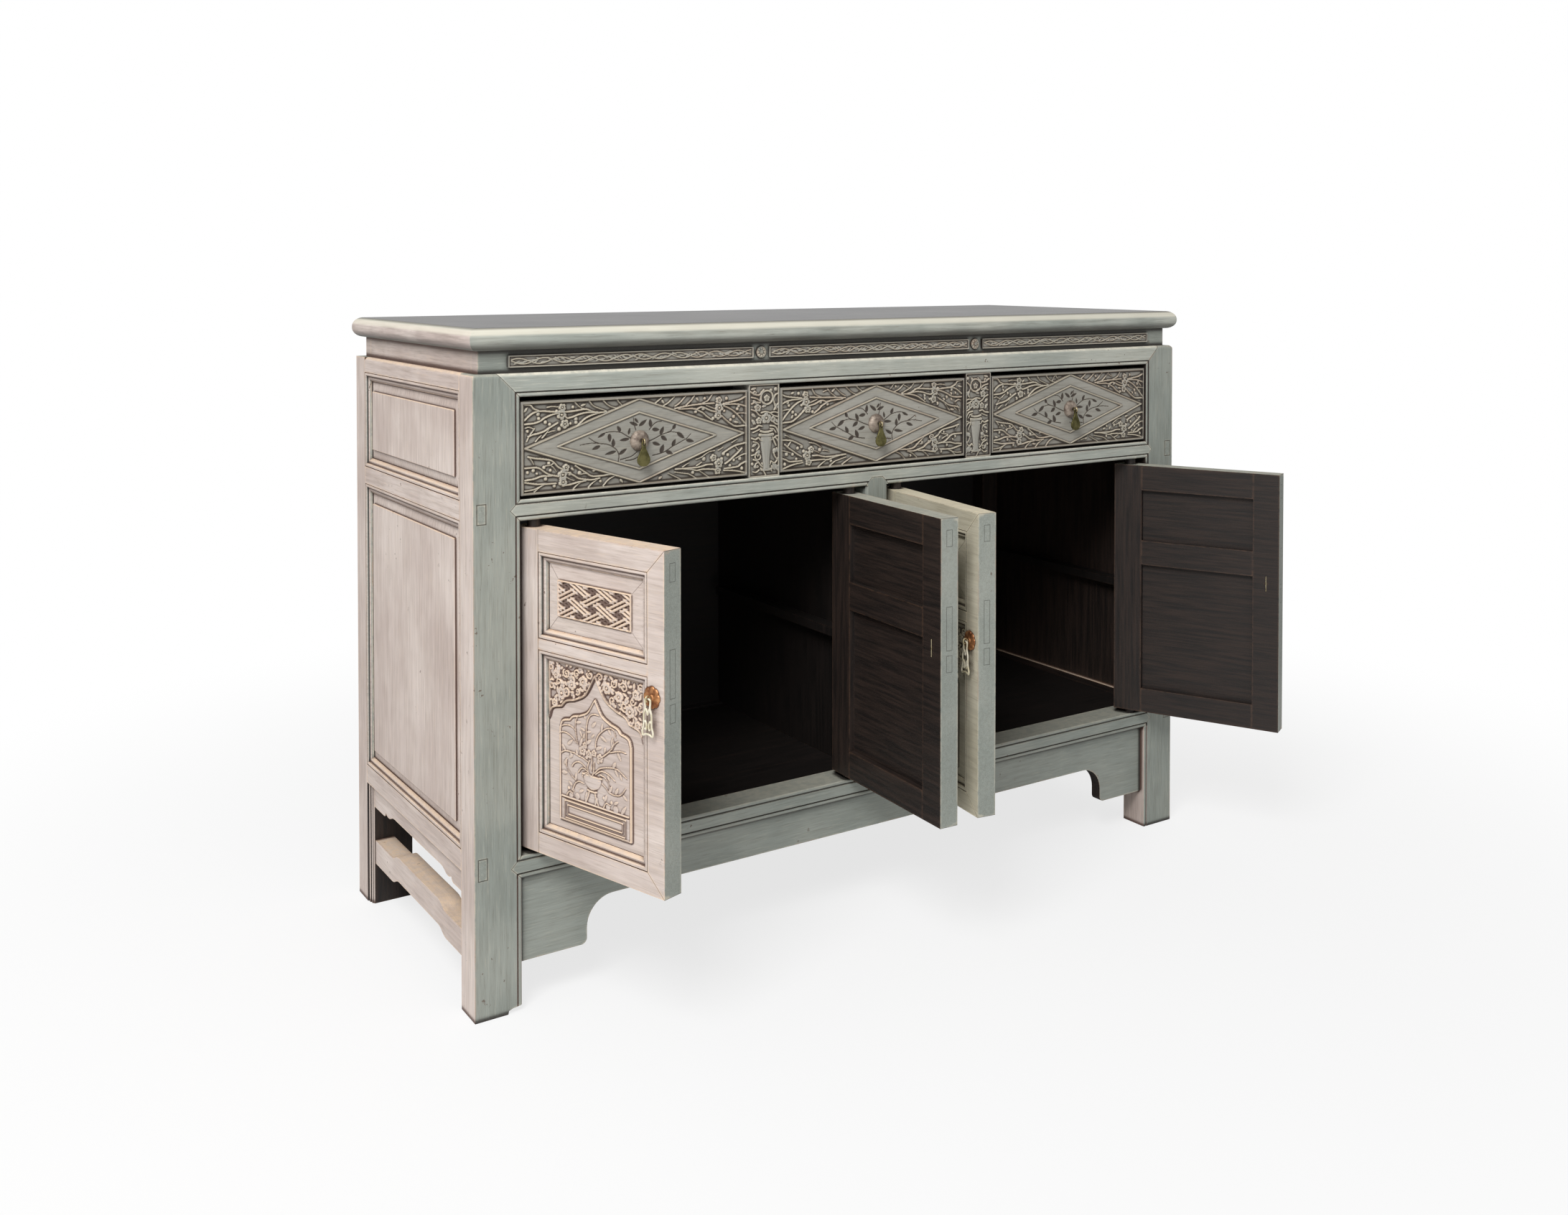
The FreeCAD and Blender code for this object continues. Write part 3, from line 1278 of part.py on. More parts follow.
for name, door in DOORS.items():
    way = RIGHT if hinged_left(door) else LEFT
    keep(hinge_stile(f"{name}_hinge_stile", way), door)
    frame = [
        lock_stile(f"{name}_lock_stile", way),
        door_rail(f"{name}_top_rail", way, "ring_high - moulding_width", "door_high",
                  "ring_high", "door_high", ("door_high", "-door_top_flat")),
        door_rail(f"{name}_mid_rail", way, "mid_flat_bottom - moulding_width", "upper_low",
                  "mid_flat_bottom", "mid_flat_top"),
        door_rail(f"{name}_bottom_rail", way, "door_low", "ring_low + moulding_width",
                  "door_low", "ring_low", ("door_low", "door_bottom_flat")),
        door_moulding(f"{name}_upper_moulding", way, "mid_flat_top", "ring_high"),
        door_moulding(f"{name}_lower_moulding", way, "ring_low", "mid_flat_bottom"),
    ]
    keep(group(f"{name}_frame", frame), door)
    keep(group(f"{name}_panels", [upper_door_panel(f"{name}_upper_panel", way),
                                  lower_door_panel(f"{name}_lower_panel", way)]), door)
    spot = f"{way} * pull_place"
    rosette = plate(f"{name}_rosette", petals(), "rosette_height", ("rosette_bevel",), spot,
                    "-door_face", "pull_level")
    pin_body = split_pin(f"{name}_pin", spot, "-door_face", "pull_level", "door_thickness",
                             "rosette_height")
    keep(group(f"{name}_pull_plate", [rosette, pin_body]), door)
    keep(openwork_pull(f"{name}_pull", spot, "-door_face", "rosette_height"), door)

doc.recompute()
faults = [thing.Label for thing in doc.Objects
          if "Invalid" in thing.State or "Error" in thing.State]
faults += [node.Label for node in nodes if node.Shape.isNull() or not node.Shape.isValid()]
if faults:
    raise RuntimeError("not sound: " + ", ".join(faults))
os.makedirs("parts", exist_ok=True)
for node in nodes:
    node.Shape.exportStep(f"parts/{node.Label}.step")
solids = sum(len(node.Shape.Solids) for node in nodes)
print(f"{len(nodes)} nodes, {solids} solids, origin {measure(SHIFT_X):.1f} mm right of the"
      f" centre line and {measure(SHIFT_Y):.1f} mm behind the front")
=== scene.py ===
# %% [markdown]
# # A painted sideboard with carved drawers and doors
# The joiner's work (posts, rails, panels, doors, drawers) comes from the CAD model.
# Blender adds what a carver, a painter and a brazier would add: the reliefs, the worn
# paint over dark wood, and the cast brass. Everything is in metres.

# %% Load the frame
import math

import bmesh
import bpy
import numpy as np
from mathutils import Matrix, Vector


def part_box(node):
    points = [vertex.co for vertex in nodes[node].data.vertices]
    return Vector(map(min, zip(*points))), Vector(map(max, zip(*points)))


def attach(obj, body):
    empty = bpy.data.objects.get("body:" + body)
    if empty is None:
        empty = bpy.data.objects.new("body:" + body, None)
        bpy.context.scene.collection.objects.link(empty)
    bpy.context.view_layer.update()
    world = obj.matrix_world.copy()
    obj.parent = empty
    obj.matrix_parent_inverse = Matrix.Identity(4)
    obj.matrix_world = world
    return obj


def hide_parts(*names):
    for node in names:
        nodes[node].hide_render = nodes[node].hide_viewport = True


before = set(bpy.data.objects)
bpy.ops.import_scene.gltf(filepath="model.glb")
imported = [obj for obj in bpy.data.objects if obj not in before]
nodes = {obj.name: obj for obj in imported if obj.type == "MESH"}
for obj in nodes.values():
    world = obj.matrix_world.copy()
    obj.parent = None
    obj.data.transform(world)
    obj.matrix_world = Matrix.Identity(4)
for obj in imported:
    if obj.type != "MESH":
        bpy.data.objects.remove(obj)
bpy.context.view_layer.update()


MM = 0.001

# %% [markdown]
# ## The view
# The camera stands to the left of the sideboard at about the height of its top, turned 33
# degrees to the right and almost level. The lens shift keeps the uprights upright while
# the piece sits low in the frame, as an architectural photographer would do it.

# %% Camera
CAMERA_PLACE = (-1.3160, -1.8590, 0.9492)
CAMERA_YAW, CAMERA_PITCH = 33.19, 1.23
SENSOR, FOCAL_SHARE, LENS_SHIFT = 36, 0.94199, -0.1985

camera = bpy.data.objects.new("camera", bpy.data.cameras.new("camera"))
camera.data.sensor_width = SENSOR
camera.data.lens = SENSOR * FOCAL_SHARE
camera.data.shift_y = LENS_SHIFT
camera.location = CAMERA_PLACE
camera.rotation_euler = (math.radians(90 - CAMERA_PITCH), 0, math.radians(-CAMERA_YAW))
bpy.context.scene.collection.objects.link(camera)
bpy.context.scene.camera = camera
print("lens", round(camera.data.lens, 2), "mm")

# %% [markdown]
# ## Shader maths as plain expressions
# A finish is a small formula: so much grime here, a little less paint there. One class
# wraps a shader socket so that `1 - worn * 0.5` builds the Math nodes, and one method adds
# any other node. This is quicker to read than rows of nodes and links.

# %% Sockets that can be added and multiplied
class Socket:
    """A shader output that understands arithmetic."""

    def __init__(self, finish, output):
        self.finish, self.output = finish, output

    def __add__(self, other):
        return self.finish.maths("ADD", self, other)

    def __sub__(self, other):
        return self.finish.maths("SUBTRACT", self, other)

    def __rsub__(self, other):
        return self.finish.maths("SUBTRACT", other, self)

    def __mul__(self, other):
        return self.finish.maths("MULTIPLY", self, other)

    def __neg__(self):
        return self * -1

    def __abs__(self):
        return self.finish.maths("ABSOLUTE", self, 0)

    __radd__, __rmul__ = __add__, __mul__


class Finish:
    """The nodes of a material, or of a world, under construction."""

    def __init__(self, name, kind="materials"):
        self.block = getattr(bpy.data, kind).new(name)
        self.block.use_nodes = True
        self.tree = self.block.node_tree
        self.tree.nodes.clear()

    def add(self, kind, inputs=None, output=0, **settings):
        """A node of this kind. Its settings are set before its sockets get values or links."""
        node = self.tree.nodes.new("ShaderNode" + kind)
        for key, value in settings.items():
            setattr(node, key, value)
        for key, value in (inputs or {}).items():
            if isinstance(value, Socket):
                self.tree.links.new(value.output, node.inputs[key])
            else:
                node.inputs[key].default_value = value
        return Socket(self, node.outputs[output]) if len(node.outputs) else None

    def maths(self, operation, first, second):
        return self.add("Math", {0: first, 1: second}, operation=operation)

    def larger(self, first, second):
        return self.maths("MAXIMUM", first, second)

    def smaller(self, first, second):
        return self.maths("MINIMUM", first, second)

    def blend(self, share, first, second, how="MIX"):
        """Mixes two colours."""
        return self.add("Mix", {0: share, 6: first, 7: second}, 2,
                        data_type="RGBA", blend_type=how, clamp_factor=True)

    def blend_value(self, share, first, second):
        return self.add("Mix", {0: share, 2: first, 3: second}, 0,
                        data_type="FLOAT", clamp_factor=True)

    def between(self, value, low, high):
        """0 at low and 1 at high, eased between them."""
        return self.add("MapRange", {0: value, 1: low, 2: high, 3: 0.0, 4: 1.0},
                        interpolation_type="SMOOTHSTEP")

    def split(self, vector):
        node = self.tree.nodes.new("ShaderNodeSeparateXYZ")
        self.tree.links.new(vector.output, node.inputs[0])
        return [Socket(self, output) for output in node.outputs]

    def noise(self, place, scale, detail=3.0, roughness=0.55):
        return self.add("TexNoise", {"Vector": place, "Scale": scale, "Detail": detail,
                                     "Roughness": roughness})

    def bumped(self, height, strength, rise):
        """A normal for a surface that rises by up to this many metres."""
        return self.add("Bump", {"Strength": strength, "Distance": rise, "Height": height})

    def finish(self, **inputs):
        """Ends in a Principled shader, with constants set on its own sockets."""
        named = {key.replace("_", " "): value for key, value in inputs.items()}
        self.add("OutputMaterial", {"Surface": self.add("BsdfPrincipled", named)})
        return self.block


def tone(red, green, blue):
    """A colour as a paint chart gives it (0 to 255), as a shader needs it."""
    def linear(value):
        value /= 255
        return value / 12.92 if value <= 0.04045 else ((value + 0.055) / 1.055) ** 2.4
    return (linear(red), linear(green), linear(blue), 1.0)


print("shader helpers ready")

# %% [markdown]
# ## Old paint over dark wood
# The whole case was painted, rubbed through on its edges and left dirty in its corners.
# So one recipe serves every painted piece: a streaked and patchy colour, a dark colour
# where ambient occlusion finds a corner, which is painted shade together with soiling, and
# a pale edge where it finds the opposite, which is wear together with a painted highlight.
# Carved pieces carry both masks as attributes instead, measured from the carving itself.
# Faces that look sideways get a warmer, lighter paint, so the colour follows the surface's
# own normal: painted light that stands for a warm light from the left. Grain runs along
# each board, so every recipe says which way that is.

# %% Colours of the paints, woods and metals
PAINTS = {
    "front": {"dark": tone(142, 148, 141), "light": tone(160, 164, 156), "streak": 0.4,
              "rubbed_and_lit": tone(204, 197, 178), "dirt_and_shade": tone(44, 39, 35), "ledge": 0.42},
    # The rail paint is a lighter copy of the front paint with strongly lightened tops: a painted
    # highlight on the rails and their beads. Posts and apron keep the darker one.
    "rail": {"dark": tone(164, 169, 161), "light": tone(188, 190, 180), "streak": 0.4,
             "rubbed_and_lit": tone(236, 230, 212), "dirt_and_shade": tone(46, 41, 37), "ledge": 0.9},
    "carved": {"dark": tone(160, 158, 149), "light": tone(178, 175, 166), "streak": 0.4,
               "rubbed_and_lit": tone(204, 192, 168), "dirt_and_shade": tone(58, 48, 40), "ledge": 0.3},
    # The two warm paints below are lighter copies for faces that look left: painted light.
    "side": {"dark": tone(201, 185, 177), "light": tone(224, 211, 203), "streak": 0.66,
             "rubbed_and_lit": tone(240, 212, 182), "dirt_and_shade": tone(84, 58, 48), "ledge": 0.8},
    "left_lit_cream": {"dark": tone(188, 181, 160), "light": tone(211, 205, 186), "streak": 0.5,
              "rubbed_and_lit": tone(230, 218, 190), "dirt_and_shade": tone(62, 50, 40), "ledge": 0.6},
}
STREAK_TINT, FIBRE_TINT = (0.74, 0.72, 0.69, 1.0), (0.70, 0.66, 0.62, 1.0)
RUBBED_WOOD = tone(170, 124, 96)
# Dark for joints and hollows, and for painted shade under the top's edge.
GRIME_AND_SHADE = tone(44, 38, 34)
BARE = tone(92, 68, 52)
STAIN = (tone(24, 19, 17), tone(48, 36, 30))
# Near black for the inside of the case: dark wood, darkened further as painted shade.
SHADED = (tone(17, 15, 14), tone(32, 25, 22))
DUSTY = (tone(50, 39, 32), tone(92, 72, 57))
# Black in the corners of stained wood: painted shade.
CORNER_SHADE_BLACK = (0.004, 0.003, 0.003, 1.0)
GRAINS = {"x": (0.05, 1, 1), "y": (1, 0.05, 1), "z": (1, 1, 0.05), "flat": (0.06, 0.06, 1)}


# %% What every wooden surface starts from
class WoodFinish(Finish):
    """A finish with the piece's own coordinates, its normals and its grain at hand."""

    def __init__(self, name, grain, turn=0):
        super().__init__(name)
        place, normal = (self.add("Mapping", {"Vector": self.add("TexCoord", {}, kind),
                                              "Rotation": (0, 0, -turn)})
                         for kind in ("Object", "Normal"))
        self.x, self.y, self.z = self.split(place)
        self.nx, self.ny, self.nz = self.split(normal)
        along = self.add("VectorMath", {0: place, 1: GRAINS[grain]}, operation="MULTIPLY")
        self.streaks = self.noise(along, 210.0, 4.0, 0.62)
        self.fibres = self.noise(along, 620.0, roughness=0.6)
        self.patches = self.noise(place, 7.0)
        self.specks = self.noise(place, 95.0, roughness=0.6)

    def corners(self, reach=0.009):
        """How closed in a spot is, from 0 in the open to 1 in a tight corner."""
        return 1 - self.add("AmbientOcclusion", {"Distance": reach}, "AO", samples=8)

    def edges(self, reach=0.004):
        """How exposed an edge is: the same measure, taken inside the wood."""
        return 1 - self.add("AmbientOcclusion", {"Distance": reach}, "AO", samples=6,
                            only_local=True, inside=True)

    def carried(self, name):
        return self.add("Attribute", {}, "Fac", attribute_name=name)


# %% The painter's recipe
def layer(coat, paint):
    """One coat of paint with its clouds and its brushed streaks, with painted shade on the
    faces that look down and a painted highlight on the faces that look up.
    """
    look = PAINTS[paint]
    colour = coat.blend(coat.between(coat.patches, 0.32, 0.72), look["dark"], look["light"])
    colour = coat.blend(coat.between(coat.streaks, 0.34, 0.70) * look["streak"], colour,
                        STREAK_TINT, "MULTIPLY")
    colour = coat.blend(coat.between(coat.fibres, 0.50, 0.76) * 0.6, colour, FIBRE_TINT,
                        "MULTIPLY")
    colour = coat.blend((1 - coat.between(coat.fibres, 0.28, 0.46)) * 0.22, colour, look["rubbed_and_lit"])
    # Faces that look down are darkened: painted shade.
    under = coat.between(coat.nz, -0.20, -0.75) * 0.55
    colour = coat.blend(under, colour, look["dirt_and_shade"])
    # Faces that look up are lightened: a painted highlight.
    ledge = coat.between(coat.nz, 0.28, 0.80) * look["ledge"]
    return coat.blend(ledge * (0.6 + 0.4 * coat.between(coat.specks, 0.4, 0.6)), colour,
                      look["rubbed_and_lit"])


def painted(name, paint, grain, turn=0.0, flank_lit_paint=None, ends=None, carved=False, hidden=None,
            marks=()):
    """Streaky paint, dark in the corners as painted shade together with soiling, and pale on
    the edges as wear together with a painted highlight. flank is the paint of faces that look
    sideways and ends of those that look forward or back: lighter or darker copies of the
    paint, painted light for how the light falls on each side. hidden says where the wood is
    stained and not painted, and marks are joints that show through the paint."""
    coat = WoodFinish(name, grain, turn)
    colour, rubbed_and_lit, dirt_and_shade = layer(coat, paint), PAINTS[paint]["rubbed_and_lit"], PAINTS[paint]["dirt_and_shade"]
    # Faces that look sideways or forward take another paint: lit copies, painted light.
    for other, facing in ((flank_lit_paint, coat.nx), (ends, coat.ny)):
        if other:
            share = coat.between(abs(facing), 0.55, 0.8)
            colour = coat.blend(share, colour, layer(coat, other))
            rubbed_and_lit = coat.blend(share, rubbed_and_lit, PAINTS[other]["rubbed_and_lit"])
            dirt_and_shade = coat.blend(share, dirt_and_shade, PAINTS[other]["dirt_and_shade"])
    if carved:
        shade_and_grime, wear_and_highlight = coat.carried("shade_and_grime"), coat.carried("wear_and_highlight")
    else:
        # Dark where ambient occlusion finds a corner: painted shade together with soiling.
        shade_and_grime = coat.between(coat.corners(), 0.06, 0.30) * 0.95
        # Pale where edges stand exposed: wear together with a painted highlight.
        wear_and_highlight = coat.between(coat.edges(), 0.24, 0.46)
        wear_and_highlight = wear_and_highlight * coat.between(coat.specks, 0.28, 0.60)
    bare = coat.between(coat.patches, 0.50, 0.58) * (0.3 if carved else 0.55)
    rubbed_and_lit = coat.blend(bare, rubbed_and_lit, RUBBED_WOOD)
    colour = coat.blend(wear_and_highlight * 0.75, colour, rubbed_and_lit)
    colour = coat.blend(shade_and_grime, colour, dirt_and_shade)
    chips = coat.between(coat.specks, 0.68, 0.71) * coat.between(coat.patches, 0.52, 0.6)
    colour = coat.blend(chips * 0.7, colour, BARE)
    for mark in marks:
        colour = coat.blend(mark(coat) * 0.85, colour, GRIME_AND_SHADE)
    rough = 0.46 + coat.streaks * 0.22
    if hidden:
        stain = coat.blend(coat.between(coat.streaks, 0.3, 0.7), *STAIN)
        if not carved:
            stain = coat.blend(wear_and_highlight * 0.6, stain, BARE)
        colour = coat.blend(hidden(coat), colour, stain)
    bumps = coat.streaks + coat.fibres * 0.8 + coat.specks * 0.4
    return coat.finish(Base_Color=colour, Roughness=rough, Normal=coat.bumped(bumps, 0.4, 0.0006))


def stained(name, grain, dark=SHADED[0], light=SHADED[1], rough=0.42, back=None):
    """Dark stained wood under old varnish, blackened in its corners as painted shade. back is the pair
    of tones of what faces back.
    """
    wood = WoodFinish(name, grain)
    colour = wood.blend(wood.between(wood.streaks, 0.28, 0.72), dark, light)
    if back:
        dusty = wood.blend(wood.between(wood.streaks, 0.25, 0.75), *back)
        colour = wood.blend(wood.between(wood.ny, 0.5, 0.7), colour, dusty)
    colour = wood.blend(wood.between(wood.patches, 0.35, 0.75) * 0.5, colour, dark)
    wear_and_highlight = wood.between(wood.edges(), 0.35, 0.6) * wood.between(wood.specks, 0.4, 0.6)
    colour = wood.blend(wear_and_highlight * 0.35, colour, BARE)
    colour = wood.blend(wood.between(wood.corners(), 0.3, 0.8) * 0.7, colour, CORNER_SHADE_BLACK)
    return wood.finish(Base_Color=colour, Roughness=rough + wood.streaks * 0.2,
                       Normal=wood.bumped(wood.streaks, 0.3, 0.0005))


# %% [markdown]
# ## Where the paint stops
# Only what the painter could see was painted. The backs of the posts, the inner faces of
# the side panels and the whole inside stay dark, and this is a matter of where a surface
# is and which way it looks. The through tenons of the side rails show on the posts as thin
# dark outlines, drawn in the paint as the joints of the real one are. Seams are given as
# pairs of spots: how far out from the case's middle and how high, in millimetres.

# %% Stained faces and visible joints
CENTRE, FRONT = -14.571 * MM, -120.303 * MM
TENON_ACROSS, TENON_HALF = 614 * MM, 6 * MM
TENONS = ((637.5 * MM, 12.5 * MM), (191.5 * MM, 13.5 * MM))


def outline(across, up, half_across, half_up, half_line=0.9 * MM):
    """The mark of a rectangular joint round a point on the front."""
    def mark(coat):
        outside = coat.larger(abs(coat.x - across) - half_across,
                               abs(coat.z - up) - half_up)
        return coat.between(half_line - abs(outside), 0.0, half_line * 0.6)
    return mark


def seam(first, last, half_line=0.55 * MM, sideways=None):
    """A straight joint between two spots (x, z) in millimetres. sideways turns a surface's x
    into the x that the spots are given in, here the distance from the case's middle."""
    sideways = sideways or (lambda coat: abs(coat.x - CENTRE))
    first, last = Vector(first) * MM, Vector(last) * MM
    run = last - first
    long = run.length
    way = run / long

    def mark(coat):
        across, up = sideways(coat) - first[0], coat.z - first[1]
        along = across * way.x + up * way.y
        off = abs(up * way.x - across * way.y)
        ends = coat.between(along, -0.5 * MM, 0.0) * coat.between(along, long + 0.5 * MM, long)
        return coat.between(off, half_line, half_line * 0.3) * ends
    return mark


def hidden_faces(start=0.0, forward=False):
    """Dark behind, and on faces that look towards the middle of the case above start.
    forward also takes the faces that look forward, as on the rear posts."""
    def mask(coat):
        side = coat.maths("SIGN", coat.x - CENTRE, 0.0)
        inner = coat.between(-(coat.nx * side), 0.5, 0.7) * coat.between(coat.z, start, start + MM)
        back = coat.between(-coat.ny if forward else coat.ny, 0.5, 0.7)
        return coat.larger(inner, back)
    return mask


BOTTOM_RAIL = 170 * MM
POST_SEAMS = (((562, 625), (575.5, 638.5)), ((575.5, 638.5), (562, 652)), ((562, 170), (576, 184)),
              ((576, 184), (562, 198)), ((562, 782), (592, 812)))
STILE_SEAMS = (((19.5, 625), (19.5, 627)), ((19.5, 627), (9.5, 637)), ((9.5, 637), (0, 637)),
               ((19.5, 198), (19.5, 196)), ((19.5, 196), (9.5, 186)), ((9.5, 186), (0, 186)))
post_seams, stile_seams = ([seam(*spots) for spots in seams] for seams in (POST_SEAMS, STILE_SEAMS))
side_tenons = [outline(CENTRE + side * TENON_ACROSS, up, TENON_HALF, half)
               for side in (-1, 1) for up, half in TENONS]
unpainted = hidden_faces()
finishes = {}
for name, *recipe, details in (
        ("front_post_paint", "front", "z", {"flank_lit_paint": "side", "hidden": hidden_faces(BOTTOM_RAIL),
                                            "marks": side_tenons + post_seams}),
        # The rear posts are stained dark on their forward and inward faces at every height: painted
        # shade.
        ("rear_post_paint", "front", "z", {"flank_lit_paint": "side", "hidden": hidden_faces(forward=True)}),
        ("front_rail_paint", "rail", "x", {"hidden": unpainted, "marks": post_seams + stile_seams}),
        ("apron_paint", "front", "x", {"hidden": unpainted, "marks": post_seams + stile_seams}),
        ("stile_paint", "front", "z", {"hidden": unpainted, "marks": stile_seams}),
        ("waist_paint", "front", "flat", {"flank_lit_paint": "side"}),
        ("side_rail_paint", "side", "y", {"ends": "front", "hidden": unpainted, "marks": side_tenons}),
        ("side_panel_paint", "side", "z", {"hidden": unpainted})):
    finishes[name] = painted(name, *recipe, **details)
# The inside of the case, its floor and the inside of its back are near black: dark wood together with
# painted shade.
for name, *recipe, details in (
        ("case_stain", "z", {}), ("floor_stain", "x", {}),
        ("back_stain", "x", {"rough": 0.6, "back": DUSTY}),
        ("drawer_wood", "y", {"dark": tone(96, 70, 50), "light": tone(140, 108, 78),
                              "rough": 0.5})):
    finishes[name] = stained(name, *recipe, **details)
print(len(finishes), "finishes mixed")

# %% [markdown]
# ## The lacquered top
# The top board's upper face has a dark, glossy lacquer over brown wood, with a few fine
# scratches. Its rounded edge is painted like the rails, lighter on its upper half as a
# painted highlight, darker on its lower half as painted shade, and warmer where it looks
# sideways as painted light. One material does both, because the board is one piece: the
# upward normal says where the lacquer starts.

# %% Lacquer and painted edge
def lacquered_top():
    coat = WoodFinish("top_lacquer_and_edge", "flat")
    clouds = coat.between(coat.patches, 0.38, 0.66)
    paint, side_lit_paint = (coat.blend(clouds, PAINTS[name]["dark"], PAINTS[name]["light"])
                   for name in ("rail", "side"))
    # The ends that look sideways take the warm side paint: painted light.
    paint = coat.blend(coat.between(abs(coat.nx), 0.55, 0.8), paint, side_lit_paint)
    paint = coat.blend(coat.between(coat.streaks, 0.36, 0.70) * 0.75, paint,
                       (0.62, 0.60, 0.58, 1.0), "MULTIPLY")
    paint = coat.blend(coat.between(coat.fibres, 0.62, 0.80) * 0.5, paint, BARE)
    # The upper half of the round is lightened: a painted highlight.
    paint = coat.blend(coat.between(coat.nz, 0.15, 0.45) * 0.65, paint, PAINTS["rail"]["rubbed_and_lit"])
    paint = coat.blend(coat.between(coat.nz, 0.75, 0.93) * 0.6, paint, GRIME_AND_SHADE)
    # The lower half of the round is darkened: painted shade.
    paint = coat.blend(coat.between(coat.nz, 0.0, -0.8) * 0.7, paint, GRIME_AND_SHADE)
    lacquer = coat.blend(coat.between(coat.streaks, 0.3, 0.7), tone(34, 30, 26), tone(70, 62, 54))
    lacquer = coat.blend(coat.between(coat.specks, 0.60, 0.72) * 0.4, lacquer, tone(120, 112, 100))
    flat = coat.between(coat.nz, 0.94, 0.99)
    rough = coat.blend_value(flat, 0.5, 0.13 + coat.patches * 0.12)
    return coat.finish(Base_Color=coat.blend(flat, paint, lacquer), Roughness=rough,
                       Normal=coat.bumped(coat.streaks, 0.12, 0.0005),
                       Coat_Weight=flat * 0.5, Coat_Roughness=0.08)


finishes["top"] = lacquered_top()

# %% [markdown]
# ## Painting the doors
# A door's finish turns with the door, so that its grain follows its own rails, and the
# dark inside is measured from its own pivot. The doors whose faces turn to the left take
# the warmer, lighter paints of the sides, and their edges the grey front paint: painted
# light, as on their neighbour round the corner.

# %% Door places and finishes
DOOR_PIVOT_FRONT = FRONT + 12.5 * MM
OUTER_PIVOT, INNER_PIVOT = 538.5 * MM, 43 * MM
DOORS = {
    "left_outer_door": (-OUTER_PIVOT, -73.0, 1, "side"),
    "left_inner_door": (-INNER_PIVOT, 87.0, -1, "front"),
    "right_inner_door": (INNER_PIVOT, -97.5, 1, "left_lit_cream"),
    "right_outer_door": (OUTER_PIVOT, 116.0, -1, "front"),
}
DOOR_LOW, DOOR_HIGH, DOOR_REACH, DOOR_FACE = 204 * MM, 615 * MM, 246.5 * MM, 14 * MM


DOOR_SEAMS = (((218.5, 587), (246.5, 615)), ((218.5, 230), (246.5, 204)), ((24, 204), (24, 615)))
DOOR_TENONS = ((588, 11), (468, 29), (421, 11))


class DoorPlace:
    """Where a door stands at rest: its own x runs to the right of its face, as for a
    closed door, reach runs from its pivot to its lock edge, and out leaves its face."""

    def __init__(self, pivot, degrees, way, paint):
        self.turn, self.way, self.paint = math.radians(degrees), way, paint
        self.pivot = Vector((CENTRE + pivot, DOOR_PIVOT_FRONT, 0))
        self.spin = Matrix.Rotation(self.turn, 3, "Z")
        self.across = self.spin @ Vector((1, 0, 0))
        self.out = self.spin @ Vector((0, -1, 0))
        self.own = self.spin.transposed() @ self.pivot

    def spot(self, reach, out, up):
        return self.pivot + self.across * self.way * reach + self.out * out + Vector((0, 0, up))

    def reach(self, coat):
        return (coat.x - self.own.x) * self.way

    def inside(self, coat):
        """1 on the face that turns inwards and within the recesses on that side."""
        reach = self.reach(coat)
        within = coat.smaller(coat.between(reach, 2 * MM, 3 * MM),
                              coat.between(reach, DOOR_REACH - MM, DOOR_REACH - 2 * MM))
        level = coat.smaller(coat.between(coat.z, DOOR_LOW + MM, DOOR_LOW + 2 * MM),
                             coat.between(coat.z, DOOR_HIGH - MM, DOOR_HIGH - 2 * MM))
        deep = coat.between(coat.y - self.own.y, 0.0, MM)
        pins = coat.larger(coat.between(coat.z, DOOR_HIGH + 0.2 * MM, DOOR_HIGH + MM),
                            coat.between(coat.z, DOOR_LOW - 0.2 * MM, DOOR_LOW - MM))
        back = coat.larger(coat.between(coat.ny, 0.5, 0.7), within * level * deep)
        return coat.larger(pins, back)

    def joints(self):
        """The mitres of the lock stile, the hinge stile's joint and the tenons' ends."""
        lines = [seam(*spots, 0.5 * MM, self.reach) for spots in DOOR_SEAMS]

        def tenon(up, half):
            def mark(coat):
                outside = coat.larger(abs(coat.y - self.own.y) - 4.5 * MM,
                                       abs(coat.z - up * MM) - half * MM)
                line = coat.between(abs(outside), 0.7 * MM, 0.2 * MM)
                return line * coat.between(abs(coat.nx), 0.5, 0.7) * 0.7
            return mark
        return lines + [tenon(up, half) for up, half in DOOR_TENONS]


doors = {name: DoorPlace(*facts) for name, facts in DOORS.items()}
for name, place in doors.items():
    for part, grain in (("upright", "z"), ("rail", "x")):
        key = f"{name}_{part}_paint"
        finishes[key] = painted(key, place.paint, grain, place.turn, flank_lit_paint="front",
                                hidden=place.inside, marks=place.joints())
print("door lock edges at", [[round(v, 3) for v in p.spot(DOOR_REACH, 0, 0.4)]
                             for p in doors.values()])

# %% [markdown]
# ## Metals
# Knobs, rings and pulls are old brass, flecked dark and light and brown in the hollows.
# The rosettes behind the door pulls are redder, so they get their own metal.

# %% Brass and copper
def metal(name, dark, light, rough, metallic=1.0):
    coat = WoodFinish(name, "z")
    colour = coat.blend(coat.between(coat.specks, 0.3, 0.7), dark, light)
    colour = coat.blend(coat.between(coat.corners(0.004), 0.25, 0.7) * 0.8, colour, GRIME_AND_SHADE)
    return coat.finish(Base_Color=colour, Metallic=metallic, Roughness=rough + coat.specks * 0.2,
                       Normal=coat.bumped(coat.specks, 0.25, 0.0004))


